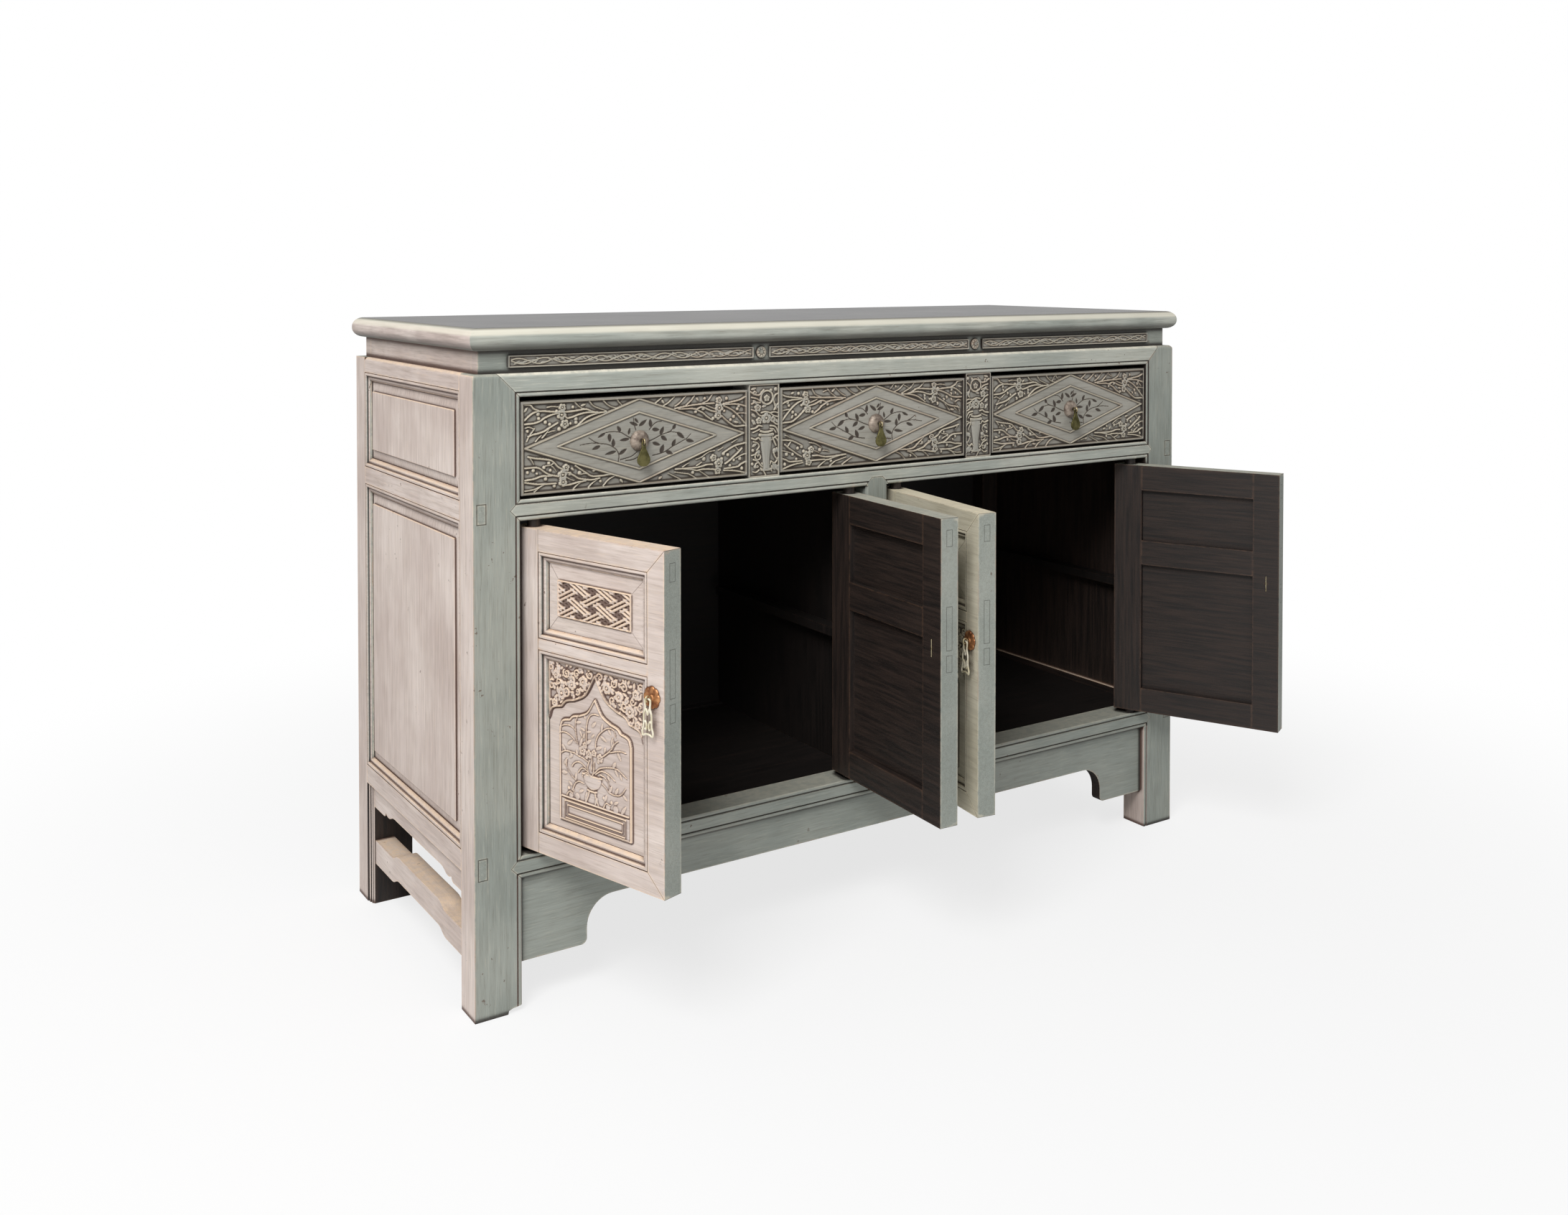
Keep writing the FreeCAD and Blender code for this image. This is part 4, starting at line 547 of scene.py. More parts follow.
METALS = {
    "brass": (tone(176, 158, 118), tone(228, 216, 180), 0.34),
    "pale_brass": (tone(216, 206, 172), tone(246, 240, 222), 0.4, 0.35),
    "copper": (tone(132, 82, 52), tone(214, 156, 106), 0.36, 0.7),
    "drop_brass": (tone(84, 80, 50), tone(136, 130, 88), 0.42),
    "boss_metal": (tone(104, 90, 80), tone(176, 162, 148), 0.45, 0.4),
}
finishes.update({name: metal(name, *recipe) for name, recipe in METALS.items()})

# %% Which finish each node wears
WEARS = {
    "front_left_leg": "front_post_paint", "front_right_leg": "front_post_paint",
    "rear_left_leg": "rear_post_paint", "rear_right_leg": "rear_post_paint",
    "centre_stile": "stile_paint", "left_drawer_divider": "stile_paint",
    "right_drawer_divider": "stile_paint", "waist_boards": "waist_paint", "top_board": "top",
    "floor_boards": "floor_stain", "floor_bearers": "case_stain", "back_panel": "back_stain",
    "back_rails": "back_stain", "front_bottom_rail": "apron_paint",
}
ENDINGS = (("_rail", "front_rail_paint"), ("front_apron", "apron_paint"),
           ("_side_rails", "side_rail_paint"), ("_side_panels", "side_panel_paint"),
           ("_side_apron", "side_rail_paint"), ("_side_stretcher", "side_rail_paint"),
           ("_box", "drawer_wood"), ("_front", "stile_paint"), ("_knob", "brass"),
           ("_drop", "drop_brass"), ("_pull_plate", "copper"), ("_pull", "brass"))


def wear(node, finish):
    node.data.materials.clear()
    node.data.materials.append(finish)


def finish_of(name):
    """The finish of a node, by its name or by how its name ends."""
    if name in WEARS:
        return finishes[WEARS[name]]
    for ending, key in ENDINGS:
        if name.endswith(ending):
            return finishes[key]
    for door in doors:
        if name.startswith(door):
            part = "rail" if name.endswith("_frame") else "upright"
            return finishes[f"{door}_{part}_paint"]
    return finishes["case_stain"]


for name, node in nodes.items():
    wear(node, finish_of(name))
print({name: node.data.materials[0].name for name, node in list(nodes.items())[:4]})

# %% [markdown]
# ## Carving on a grid of heights
# The carver started from a flat board and cut round each stem, leaf and flower. A dense
# grid does the same: each motif lifts the points near it, by how far they are from its
# line. One height per point is enough, because nothing here is undercut. What the blurred
# surface lacks or has in excess of the sharp one gives two masks: painted shade in the
# hollows, and a pale mark on the ridges that is wear together with a painted highlight.

# %% A relief and its tools
HOLLOW_SHADE_REACH, RIDGE_WEAR_AND_HIGHLIGHT_REACH = 1.6, 0.95
rng = np.random.default_rng(7)


def smooth(points, parts=5):
    """A soft line through a few points (Catmull-Rom)."""
    p = np.array(points, float)
    if len(p) < 3:
        return p
    p = np.vstack([2 * p[0] - p[1], p, 2 * p[-1] - p[-2]])
    t = np.linspace(0, 1, parts, endpoint=False)[:, None]
    runs = [0.5 * (2 * b + (c - a) * t + (2 * a - 5 * b + 4 * c - d) * t ** 2
                   + (3 * b - a - 3 * c + d) * t ** 3)
            for a, b, c, d in zip(p, p[1:], p[2:], p[3:])]
    return np.vstack(runs + [p[-2:-1]])


def blurred(heights, reach):
    """A Gaussian blur along both ways of the grid, reach in grid steps."""
    far = int(3 * reach) + 1
    weights = np.exp(-0.5 * (np.arange(-far, far + 1) / reach) ** 2)
    weights /= weights.sum()
    for _ in range(2):
        padded = np.pad(heights, ((0, 0), (far, far)), mode="edge")
        heights = sum(w * padded[:, i:i + heights.shape[1]] for i, w in enumerate(weights)).T
    return heights


class Relief:
    """Heights in millimetres over a face, (0, 0) at its middle."""

    def __init__(self, wide, high, step, shift=0.0):
        self.wide, self.high, self.step, self.shift = wide, high, step, (shift, 0.0)
        self.columns, self.rows = round(wide / step), round(high / step)
        u = np.linspace(-wide / 2, wide / 2, self.columns + 1) + shift
        v = np.linspace(-high / 2, high / 2, self.rows + 1)
        self.u, self.v = np.meshgrid(u, v)
        self.level = np.zeros_like(self.u)
        self.ink = np.zeros_like(self.u)
        self.shade = np.zeros_like(self.u)
        self.clean = 1.0

    def inset(self):
        """How far each point lies within the board's edge."""
        return np.minimum(self.wide / 2 - np.abs(self.u), self.high / 2 - np.abs(self.v))

    def near(self, points, margin):
        """The part of the grid round these points."""
        low = np.min(points, axis=0) - margin - self.shift
        high = np.max(points, axis=0) + margin - self.shift
        first = [int(max(0, (low[i] + size / 2) / self.step)) for i, size in
                 enumerate((self.wide, self.high))]
        last = [int(min(n, (high[i] + size / 2) / self.step + 2)) for i, (size, n) in
                enumerate(((self.wide, self.columns + 1), (self.high, self.rows + 1)))]
        return np.s_[first[1]:max(last[1], first[1]), first[0]:max(last[0], first[0])]

    def away(self, points, part):
        """Distance to a line, and the share along it, for that part of the grid."""
        u, v = self.u[part], self.v[part]
        best, share = np.full(u.shape, 1e9), np.zeros(u.shape)
        for i, (a, b) in enumerate(zip(points, points[1:])):
            run = b - a
            t = np.clip(((u - a[0]) * run[0] + (v - a[1]) * run[1]) / (run @ run + 1e-12), 0, 1)
            d = np.hypot(u - a[0] - t * run[0], v - a[1] - t * run[1])
            closer = d < best
            best = np.where(closer, d, best)
            share = np.where(closer, (i + t) / (len(points) - 1), share)
        return best, share

    def raise_to(self, part, heights, inside):
        self.level[part] = np.where(inside, np.maximum(self.level[part], heights), self.level[part])

    def stroke(self, points, wide, base, lift, taper=0.0, soft=True):
        """A rounded stem along a line. taper thins it towards its end."""
        points = smooth(points) if soft else np.array(points, float)
        part = self.near(points, wide)
        d, share = self.away(points, part)
        half = wide / 2 * (1 - taper * share) + 0.25
        round_top = np.sqrt(np.clip(1 - (d / half) ** 2, 0, 1)) * np.clip((half - d) / 0.6, 0, 1)
        self.raise_to(part, base + lift * round_top, d < half)

    def groove(self, points, wide, depth, taper=0.0, soft=True, ink=1.0):
        """A V cut filled with dark paint."""
        points = smooth(points) if soft else np.array(points, float)
        part = self.near(points, wide)
        d, share = self.away(points, part)
        half = wide / 2 * (1 - taper * share)
        inside = np.clip(1 - d / half, 0, 1)
        self.level[part] -= depth * np.sqrt(inside)
        self.ink[part] = np.maximum(self.ink[part], ink * np.clip(inside * 2.5, 0, 1))

    def leaf_shape(self, base, tip, wide):
        """How far inside a leaf each near point is: 1 on its vein and 0 outside."""
        base, tip = np.array(base, float), np.array(tip, float)
        long = np.hypot(*(tip - base))
        way = (tip - base) / long
        part = self.near([base, tip], wide)
        u, v = self.u[part] - base[0], self.v[part] - base[1]
        t = np.clip((u * way[0] + v * way[1]) / long, 0, 1)
        off = u * -way[1] + v * way[0]
        half = wide / 2 * np.sin(np.pi * t ** 0.8) ** 0.75 + 1e-6
        beyond = np.hypot(u - t * long * way[0] + off * way[1],
                          v - t * long * way[1] - off * way[0])
        return part, np.clip(1 - np.abs(off) / half - beyond, 0, 1), off

    def leaf(self, base, tip, wide, floor, lift):
        """A raised leaf with a cut vein."""
        part, inside, off = self.leaf_shape(base, tip, wide)
        vein = 0.35 * lift * np.exp(-(off / 0.45) ** 2)
        self.raise_to(part, floor + lift * np.sqrt(inside) - vein, inside > 0)

    def sunk_leaf(self, base, tip, wide, depth):
        """A leaf cut into the ground and darkened."""
        part, inside, _ = self.leaf_shape(base, tip, wide)
        self.level[part] -= depth * np.sqrt(inside)
        self.ink[part] = np.maximum(self.ink[part], np.clip(inside * 3, 0, 1))

    def blossom(self, x, y, radius, floor, lift, petals=5, turn=0.3):
        """Domed petals round a button."""
        part = self.near([(x, y)], radius * 1.1)
        u, v = self.u[part] - x, self.v[part] - y
        for k in range(petals):
            a = turn + 2 * np.pi * k / petals
            d = np.hypot(u - 0.56 * radius * np.cos(a), v - 0.56 * radius * np.sin(a))
            dome = 1 - (d / (0.46 * radius)) ** 2
            hollow = 0.35 * np.exp(-(d / (0.2 * radius)) ** 2)
            self.raise_to(part, floor + lift * (np.sqrt(np.clip(dome, 0, 1)) - hollow), dome > 0)
        d = np.hypot(u, v)
        button = 1 - (d / (0.24 * radius)) ** 2
        moat = (d < 0.36 * radius) & (button <= 0)
        self.level[part] = np.where(moat, floor + 0.25 * lift, self.level[part])
        self.raise_to(part, floor + 1.05 * lift * np.sqrt(np.clip(button, 0, 1)), button > 0)

    def bud(self, x, y, radius, floor, lift):
        part = self.near([(x, y)], radius)
        dome = 1 - ((self.u[part] - x) ** 2 + (self.v[part] - y) ** 2) / radius ** 2
        self.raise_to(part, floor + lift * np.sqrt(np.clip(dome, 0, 1)), dome > 0)

    def scroll(self, x, y, radius, turns, start, wide, floor, lift, way=1):
        """A stem that curls in to a point."""
        t = np.linspace(0, 1, int(10 * turns) + 4)
        a = start + way * 2 * np.pi * turns * t
        r = radius * (1 - 0.85 * t)
        self.stroke(np.c_[x + r * np.cos(a), y + r * np.sin(a)], wide, floor, lift, 0.3)

    def darken(self, below, amount, where=True, soft=0.7):
        """Painted shade on the ground that the motifs stand on, darker the deeper it lies."""
        deep = amount * np.clip((below - self.level) / soft, 0, 1) * where
        self.shade = np.maximum(self.shade, deep)

    def masks(self):
        """Painted shade in the hollows, with the dark filling of the cuts and the painted shade
        of low ground, and on the ridges wear together with a painted highlight, both from 0 to 1.
        """
        soft, fine = (blurred(self.level, reach / self.step) for reach in (HOLLOW_SHADE_REACH, RIDGE_WEAR_AND_HIGHLIGHT_REACH))
        shade_and_grime = np.clip((soft - self.level - 0.10 * self.clean) / (0.55 * self.clean), 0, 1)
        wear_and_highlight = np.clip((self.level - fine - 0.10 * self.clean) / (0.40 * self.clean), 0, 1)
        return (np.clip(np.maximum(shade_and_grime, self.ink * 0.95) + self.shade, 0, 0.97),
                wear_and_highlight * (1 - self.ink))


# %% From heights to a board
FACING_FRONT = (1, 0, 0), (0, 0, 1)


def to_mesh(name, bm):
    mesh = bpy.data.meshes.new(name)
    bm.to_mesh(mesh)
    bm.free()
    return mesh


def into_scene(name, mesh, sharp=50):
    """Puts a mesh in the scene, smooth except at edges sharper than this many degrees."""
    mesh.polygons.foreach_set("use_smooth", [True] * len(mesh.polygons))
    mesh.set_sharp_from_angle(angle=math.radians(sharp))
    piece = bpy.data.objects.new(name, mesh)
    bpy.context.scene.collection.objects.link(piece)
    return piece


def front_of(node):
    """The middle of a board's front in metres, and the board's thickness in millimetres."""
    low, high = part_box(node)
    return Vector(((low.x + high.x) / 2, low.y, (low.z + high.z) / 2)), (high.y - low.y) / MM


def face(origin, across, up):
    """Where a carved face stands: its middle, its own two ways and its outward one."""
    across, up = Vector(across), Vector(up)
    return Vector(origin), across, up, across.cross(up)


def carved_board(name, relief, where, thick):
    """A closed board whose front is the relief, thick millimetres behind its base."""
    bm = bmesh.new()
    bmesh.ops.create_grid(bm, x_segments=relief.columns, y_segments=relief.rows, size=0.5)
    rim = [edge for edge in bm.edges if edge.is_boundary]
    skirt = bmesh.ops.extrude_edge_only(bm, edges=rim)["geom"]
    bmesh.ops.translate(bm, vec=(0, 0, -1),
                        verts=[g for g in skirt if isinstance(g, bmesh.types.BMVert)])
    bmesh.ops.holes_fill(bm, edges=[edge for edge in bm.edges if edge.is_boundary])
    bmesh.ops.recalc_face_normals(bm, faces=bm.faces)
    mesh = to_mesh(name, bm)

    spots = np.empty(len(mesh.vertices) * 3)
    mesh.vertices.foreach_get("co", spots)
    spots = spots.reshape(-1, 3)
    column = np.rint((spots[:, 0] + 0.5) * relief.columns).astype(int)
    row = np.rint((spots[:, 1] + 0.5) * relief.rows).astype(int)
    front = spots[:, 2] > -0.5
    out = np.where(front, relief.level[row, column], -thick)
    origin, across, up, outward = (np.array(way) for way in where)
    placed = (origin + MM * (np.outer(relief.u[row, column], across)
                             + np.outer(relief.v[row, column], up) + np.outer(out, outward)))
    mesh.vertices.foreach_set("co", placed.ravel())
    # The masks ride on the board: painted shade with the dark cuts, and wear with painted highlights.
    for key, mask in zip(("shade_and_grime", "wear_and_highlight"), relief.masks()):
        values = mesh.attributes.new(key, "FLOAT", "POINT")
        values.data.foreach_set("value", np.where(front, mask[row, column], 0.0))
    mesh.update()
    print(name, len(mesh.polygons), "faces")
    return into_scene(name, mesh, 70)


def fit(piece, finish, body, slot, *replaced):
    """Puts a finish on a piece, and lets it ride on its body in place of CAD nodes."""
    wear(piece, finish)
    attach(piece, body)
    if replaced:
        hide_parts(*replaced)
    return piece


# %% [markdown]
# ## The drawer fronts
# Two raised rhombuses divide each front. In the corners the ground is cut deeper and
# plum branches run towards the narrow ends, with twigs all leaning one way. Inside the
# inner rhombus the sprigs are cut in and darkened. The branches were read off the
# drawer's own corners in millimetres, and the other drawers turn and bend them a little.

# %% The branches in a drawer's corners
DRAWER_WIDE, DRAWER_HIGH, DRAWER_STEP = 336.33, 119.0, 0.68
DRAWERS = {"left_drawer": (1, 1), "middle_drawer": (-1, -1), "right_drawer": (1, -1)}
RIM, RIM_UP, CORNER_DOWN = 4.0, 1.6, -1.5
OUTER_HALF, INNER_HALF, RHOMBUS_LINE = (162.5, 55.5), (117.5, 37.5), 2.6
STEM_WIDE, STEM_LIFT, TWIG_WIDE, TWIG_LIFT, BLOSSOM_LIFT, BUD_LIFT = 2.5, 2.7, 1.9, 2.2, 3.0, 2.5
SPRIG_DEPTH, SPRIG_WIDE = 0.7, 1.9

UPPER_LEFT = {
    "stems": [
        [(-163, 36), (-157, 41), (-150, 45), (-140, 46.5), (-118, 45), (-98, 45.5), (-78, 47),
         (-70, 44)],
        [(-163, 31), (-150, 31.5), (-141, 34), (-134, 38), (-118, 43), (-106, 39), (-103, 37),
         (-95, 38.5), (-87, 41), (-75, 42.5), (-60, 41)],
        [(-158, 15), (-152, 17), (-145, 18), (-136, 20.5), (-130, 24), (-117, 31)],
        [(-163, 56), (-155, 55), (-150, 50), (-143, 47)],
        [(-91, 26), (-84, 31), (-78, 35), (-70, 38), (-60, 40), (-48, 41)]],
    "twigs": [
        [(-160, 9), (-157, 15), (-153, 20), (-149, 25)], [(-139, 12), (-134, 17), (-129, 24)],
        [(-92, 57), (-86, 51), (-80, 47.5)], [(-80, 48), (-70, 44), (-60, 41), (-50, 40)],
        [(-72, 57), (-66, 50), (-58, 46), (-48, 42)], [(-53, 57), (-46, 50), (-38, 46), (-28, 44)],
        [(-33, 57), (-29, 52), (-26, 49)], [(-131, 51), (-124, 52), (-112, 51)],
        [(-150, 24), (-157, 27), (-162, 26)]],
    "blossoms": [(-110, 51, 5.6), (-111, 41.5, 7.2), (-107, 29.5, 6.4)],
    "buds": [(-115, 23, 3.2), (-144, 43, 3.2), (-143, 37, 2.6), (-134, 32, 3), (-91, 35.5, 3.2),
             (-91, 31, 3), (-128, 29, 2.6), (-118, 46, 2.4), (-99, 30, 2.2)],
}
LOWER_LEFT = {
    "stems": [
        [(-158, -11), (-148, -13.5), (-138, -15), (-127, -17), (-121, -21), (-116, -26),
         (-110, -29)],
        [(-163, -25), (-150, -25), (-142, -27), (-130, -35), (-116, -38)],
        [(-163, -40.5), (-150, -39.5), (-140, -37), (-126, -37)],
        [(-163, -43), (-152, -45.5), (-142, -47), (-120, -47)],
        [(-103, -33), (-94, -38), (-88, -42), (-80, -44), (-70, -46), (-58, -45)],
        [(-92, -25), (-84, -31), (-77, -36), (-70, -41), (-60, -42.5), (-40, -41.5), (-28, -42)],
        [(-110, -50), (-100, -49), (-90, -47), (-78, -46)]],
    "twigs": [
        [(-157, -11), (-153, -16), (-150, -21)], [(-163, -54), (-150, -53), (-138, -48)],
        [(-134, -24), (-126, -23), (-122, -20)], [(-85, -37), (-80, -36.5), (-74, -37.5)],
        [(-97, -56), (-90, -50), (-84, -47)], [(-75, -56), (-68, -50), (-58, -45)],
        [(-53, -56), (-46, -49), (-38, -45), (-28, -42)], [(-150, -56), (-143, -51), (-136, -48)]],
    "blossoms": [(-105, -27, 5.4), (-110, -36, 7.2), (-110, -45.5, 6.4)],
    "buds": [(-151, -28.5, 3), (-134, -40.5, 3), (-136, -26, 2.8), (-129, -20.5, 2.8),
             (-86, -35, 3.4), (-66, -34, 2.6), (-122, -50, 2.8), (-100, -35, 3.2), (-146, -33, 2)],
}
UPPER_RIGHT = {
    "stems": [
        [(165, 50), (158, 47), (150, 45.5), (131, 43)],
        [(165, 37), (156, 40), (146, 41.5), (130, 42)],
        [(131, 40), (138, 37), (145, 33), (151, 28), (157, 22), (165, 13)],
        [(128, 26), (136, 19), (143, 14), (150, 10.5), (166, 10)],
        [(116, 44), (105, 43.5), (94, 43), (75, 42), (55, 40)],
        [(60, 39), (80, 38), (88, 36.5), (97, 39), (110, 34), (119, 32)],
        [(86, 37), (92, 34), (98, 31), (104, 26), (112, 21)]],
    "twigs": [
        [(151, 28), (158, 28), (166, 27)], [(113, 56), (107, 48), (100, 45), (94, 43)],
        [(72, 43), (80, 49), (86, 56)], [(55, 43), (62, 47), (72, 56)],
        [(36, 44), (44, 48), (54, 56)], [(24, 48), (30, 52), (36, 57)],
        [(118, 36), (112, 38), (104, 41)]],
    "blossoms": [(124, 48, 5.4), (124, 37.5, 7.2), (122, 27, 6.2)],
    "buds": [(99, 37, 3.2), (87, 33, 2.8), (155, 38, 2.8), (153, 34, 2.6), (147, 24, 3),
             (142, 20, 2.6), (114, 23, 2.8), (136, 50, 2.8), (132, 33, 2.4)],
}
LOWER_RIGHT = {
    "stems": [
        [(166, -14), (158, -15), (150, -16), (142, -19), (132, -24)],
        [(133, -40), (140, -36), (147, -31), (153, -27), (160, -21)],
        [(166, -40), (158, -43), (152, -46), (132, -46.5)],
        [(113, -40), (104, -40), (96, -42), (84, -43), (55, -42)],
        [(118, -47), (98, -46), (88, -47), (80, -45), (66, -42.5)],
        [(131, -49), (142, -50), (152, -52), (166, -56)]],
    "twigs": [
        [(166, -29), (158, -31), (150, -34)], [(117, -21), (108, -22.5), (100, -27), (96, -30)],
        [(106, -57), (97, -51), (90, -47)], [(86, -57), (76, -51), (68, -49), (54, -46)],
        [(62, -56), (54, -52), (44, -47)], [(150, -18), (156, -24), (160, -21)]],
    "blossoms": [(115, -31, 5.4), (123, -39, 7.2), (121, -49, 5.6)],
    "buds": [(100, -32, 3.4), (82, -49, 3), (131, -26, 3), (138, -28, 2.8), (160, -49, 3),
             (157, -35, 3.2), (147, -36, 2.8), (128, -33, 3), (141, -43, 2.4)],
}

# %% The sprigs cut into the inner rhombus
SPRIG_STEMS = [
    [(-31, -26), (-30, -18), (-33, -11), (-40, -5), (-48, -1.5), (-58, 0), (-70, 1), (-86, -1)],
    [(-12, 3), (-20, 8), (-27, 12), (-37, 14), (-50, 13.5), (-55, 9.5)],
    [(16, 14), (18, 16), (23, 21), (28, 23.5), (34, 24)],
    [(14, -2), (25, 2), (33, 5.5), (43, 8), (50, 8.5), (58, 7)], [(43, 8), (48, 10), (51, 14)],
    [(20, -21), (33, -19), (42, -16), (50, -11.5), (58, -8), (66, -4), (72, -1), (78, 5)],
    [(-28, -24), (-12, -21), (-3, -15)], [(-20, -26), (-8, -25), (0, -21)],
    [(-60, 0.5), (-66, 3), (-74, 8)], [(-4, 14), (-6, 20), (-8, 30)]]
SPRIG_LEAVES = [
    (-30, -17, -18, -10, 4.4), (-34, -12, -50, -15, 4), (-38, -6, -38, 5, 5),
    (-57, -3, -69, -7.5, 4.4), (-14, 2.5, -29, 1.5, 4), (-27, 13, -32, 21, 4.6),
    (-44, 12, -43, 0.5, 5.2), (-50, 13, -61, 8, 3.6), (-15, 8, -13, 17, 3.4),
    (-1, 20, -14, 24.5, 4.2), (-6, 29, 0, 23, 3.4), (1, 19, 12, 27, 4.6), (18, 17, 17, 28, 5),
    (20, 14, 31, 12.5, 4.8), (51, 12, 55, 19, 4.6), (32, 6, 37, 16.5, 5.2),
    (33, 4, 42, -2.5, 5.2), (57, 7.5, 69, -1, 5.2), (32, -19, 37, -7.5, 6),
    (40, -17, 51, -21, 5), (50, -11, 55, -1.5, 5), (71, -3, 84, -5.5, 4.6), (20, -4, 32, -8, 4.4)]


# %% Carving one drawer front
def hand_bend(sideways, seed):
    """Moves points by a few tenths of a millimetre to two millimetres, and may mirror them."""
    a, b, c, d = np.random.default_rng(seed).uniform(-1.6, 1.6, 4)

    def bend(x, y):
        swing = math.sin(math.pi * (abs(x) - 40) / 120)
        x2 = x + (a * math.sin(y / 11) + b * 0.6) * swing
        return sideways * x2, y + (c * math.sin(x / 19) + d * 0.5) * swing * 0.7
    return bend


def fill_thicket(work, dice, tries=900):
    """Short twigs, leaves and buds wherever the ground of a corner is still bare."""
    for _ in range(tries):
        x = dice.uniform(-DRAWER_WIDE / 2 + 7, DRAWER_WIDE / 2 - 7)
        y = dice.uniform(-DRAWER_HIGH / 2 + 7, DRAWER_HIGH / 2 - 7)
        if abs(x) / OUTER_HALF[0] + abs(y) / OUTER_HALF[1] < 1.09:
            continue
        part = work.near([(x, y)], 2.3)
        if work.level[part].max() > CORNER_DOWN + 0.4:
            continue
        lean = math.radians(dice.uniform(10, 55)) * -math.copysign(1, x * y)
        dx, dy = math.cos(lean) * dice.uniform(4, 6.5), math.sin(lean) * 5
        kind = dice.uniform()
        if kind < 0.5:
            work.stroke([(x - dx, y - dy), (x, y + dice.uniform(-1, 1)), (x + dx, y + dy)], 1.8,
                        CORNER_DOWN, 2.0, 0.3)
        elif kind < 0.85:
            work.leaf((x - dx * 0.7, y - dy * 0.7), (x + dx * 0.7, y + dy * 0.7), 3.6,
                      CORNER_DOWN, 2.3)
        else:
            work.bud(x, y, 2.2, CORNER_DOWN, 2.2)


def drawer_relief(bend, sprig_bend, seed):
    work = Relief(DRAWER_WIDE, DRAWER_HIGH, DRAWER_STEP)
    slope = np.abs(work.u) / OUTER_HALF[0] + np.abs(work.v) / OUTER_HALF[1]
    work.level = np.where(slope > 1, CORNER_DOWN, 0.0)
    for corner in (UPPER_LEFT, LOWER_LEFT, UPPER_RIGHT, LOWER_RIGHT):
        for stem in corner["stems"]:
            work.stroke([bend(*p) for p in stem], STEM_WIDE, CORNER_DOWN, STEM_LIFT)
        for twig in corner["twigs"]:
            work.stroke([bend(*p) for p in twig], TWIG_WIDE, CORNER_DOWN, TWIG_LIFT, 0.2)
        for x, y, radius in corner["blossoms"]:
            work.blossom(*bend(x, y), radius, CORNER_DOWN, BLOSSOM_LIFT,
                         turn=rng.uniform(0, 1.2))
        for x, y, radius in corner["buds"]:
            work.bud(*bend(x, y), radius * 0.9, CORNER_DOWN, BUD_LIFT)
    fill_thicket(work, np.random.default_rng(seed))
    # The deeper ground of the corners is darkened: painted shade.
    work.darken(CORNER_DOWN + 0.9, 0.34)
    inside = slope < 0.98
    work.level = np.where(inside, 0.0, work.level)
    work.shade = np.where(inside, 0.10, work.shade)
    for half_across, half_up in (OUTER_HALF, INNER_HALF):
        ring = [(-half_across, 0), (0, half_up), (half_across, 0), (0, -half_up), (-half_across, 0)]
        for a, b in zip(ring, ring[1:]):
            work.stroke([a, b], RHOMBUS_LINE, -0.3, RIM_UP + 0.3, soft=False)
    for stem in SPRIG_STEMS:
        work.groove([sprig_bend(*p) for p in stem], SPRIG_WIDE, SPRIG_DEPTH, 0.3)
    for x, y, tip_x, tip_y, wide in SPRIG_LEAVES:
        work.sunk_leaf(sprig_bend(x, y), sprig_bend(tip_x, tip_y), wide * 1.3, SPRIG_DEPTH)
    edge = work.inset()
    rim = np.clip((RIM - edge) / 0.9, 0, 1)
    work.level = np.maximum(work.level * (1 - rim), RIM_UP * rim - (1 - rim) * 9)
    work.level -= 0.5 * np.clip(1 - edge / 0.9, 0, 1)
    return work


def wavering(work, amount=0.10, seed=3):
    """The unevenness that a gouge leaves."""
    waves = np.random.default_rng(seed)
    for _ in range(7):
        fu, fv, phase = waves.uniform(-0.5, 0.5), waves.uniform(-0.7, 0.7), waves.uniform(0, 6.3)
        work.level += amount / 4 * np.sin(fu * work.u + fv * work.v + phase)


finishes["carved_front"] = painted("carved_front_paint", "carved", "x", carved=True,
                                   hidden=unpainted)
for index, (name, (way, sprig_way)) in enumerate(DRAWERS.items()):
    middle, thick = front_of(f"{name}_front")
    middle.y += RIM_UP * MM
    carving = drawer_relief(hand_bend(way, index * 3), hand_bend(sprig_way, 40 + index),
                            60 + index)
    wavering(carving, seed=index)
    board = carved_board(f"{name}_carved_front", carving, face(middle, *FACING_FRONT),
                         thick - RIM_UP)
    fit(board, finishes["carved_front"], name, "front_paint", f"{name}_front")

# %% [markdown]
# ## The dividers
# Between the drawers stand two narrow boards. On a sunk ground each has a fluted vase with
# ribbons at its sides, a flower head above it, a looped stem at the top and a bow below.
# The second is the mirror image of the first.

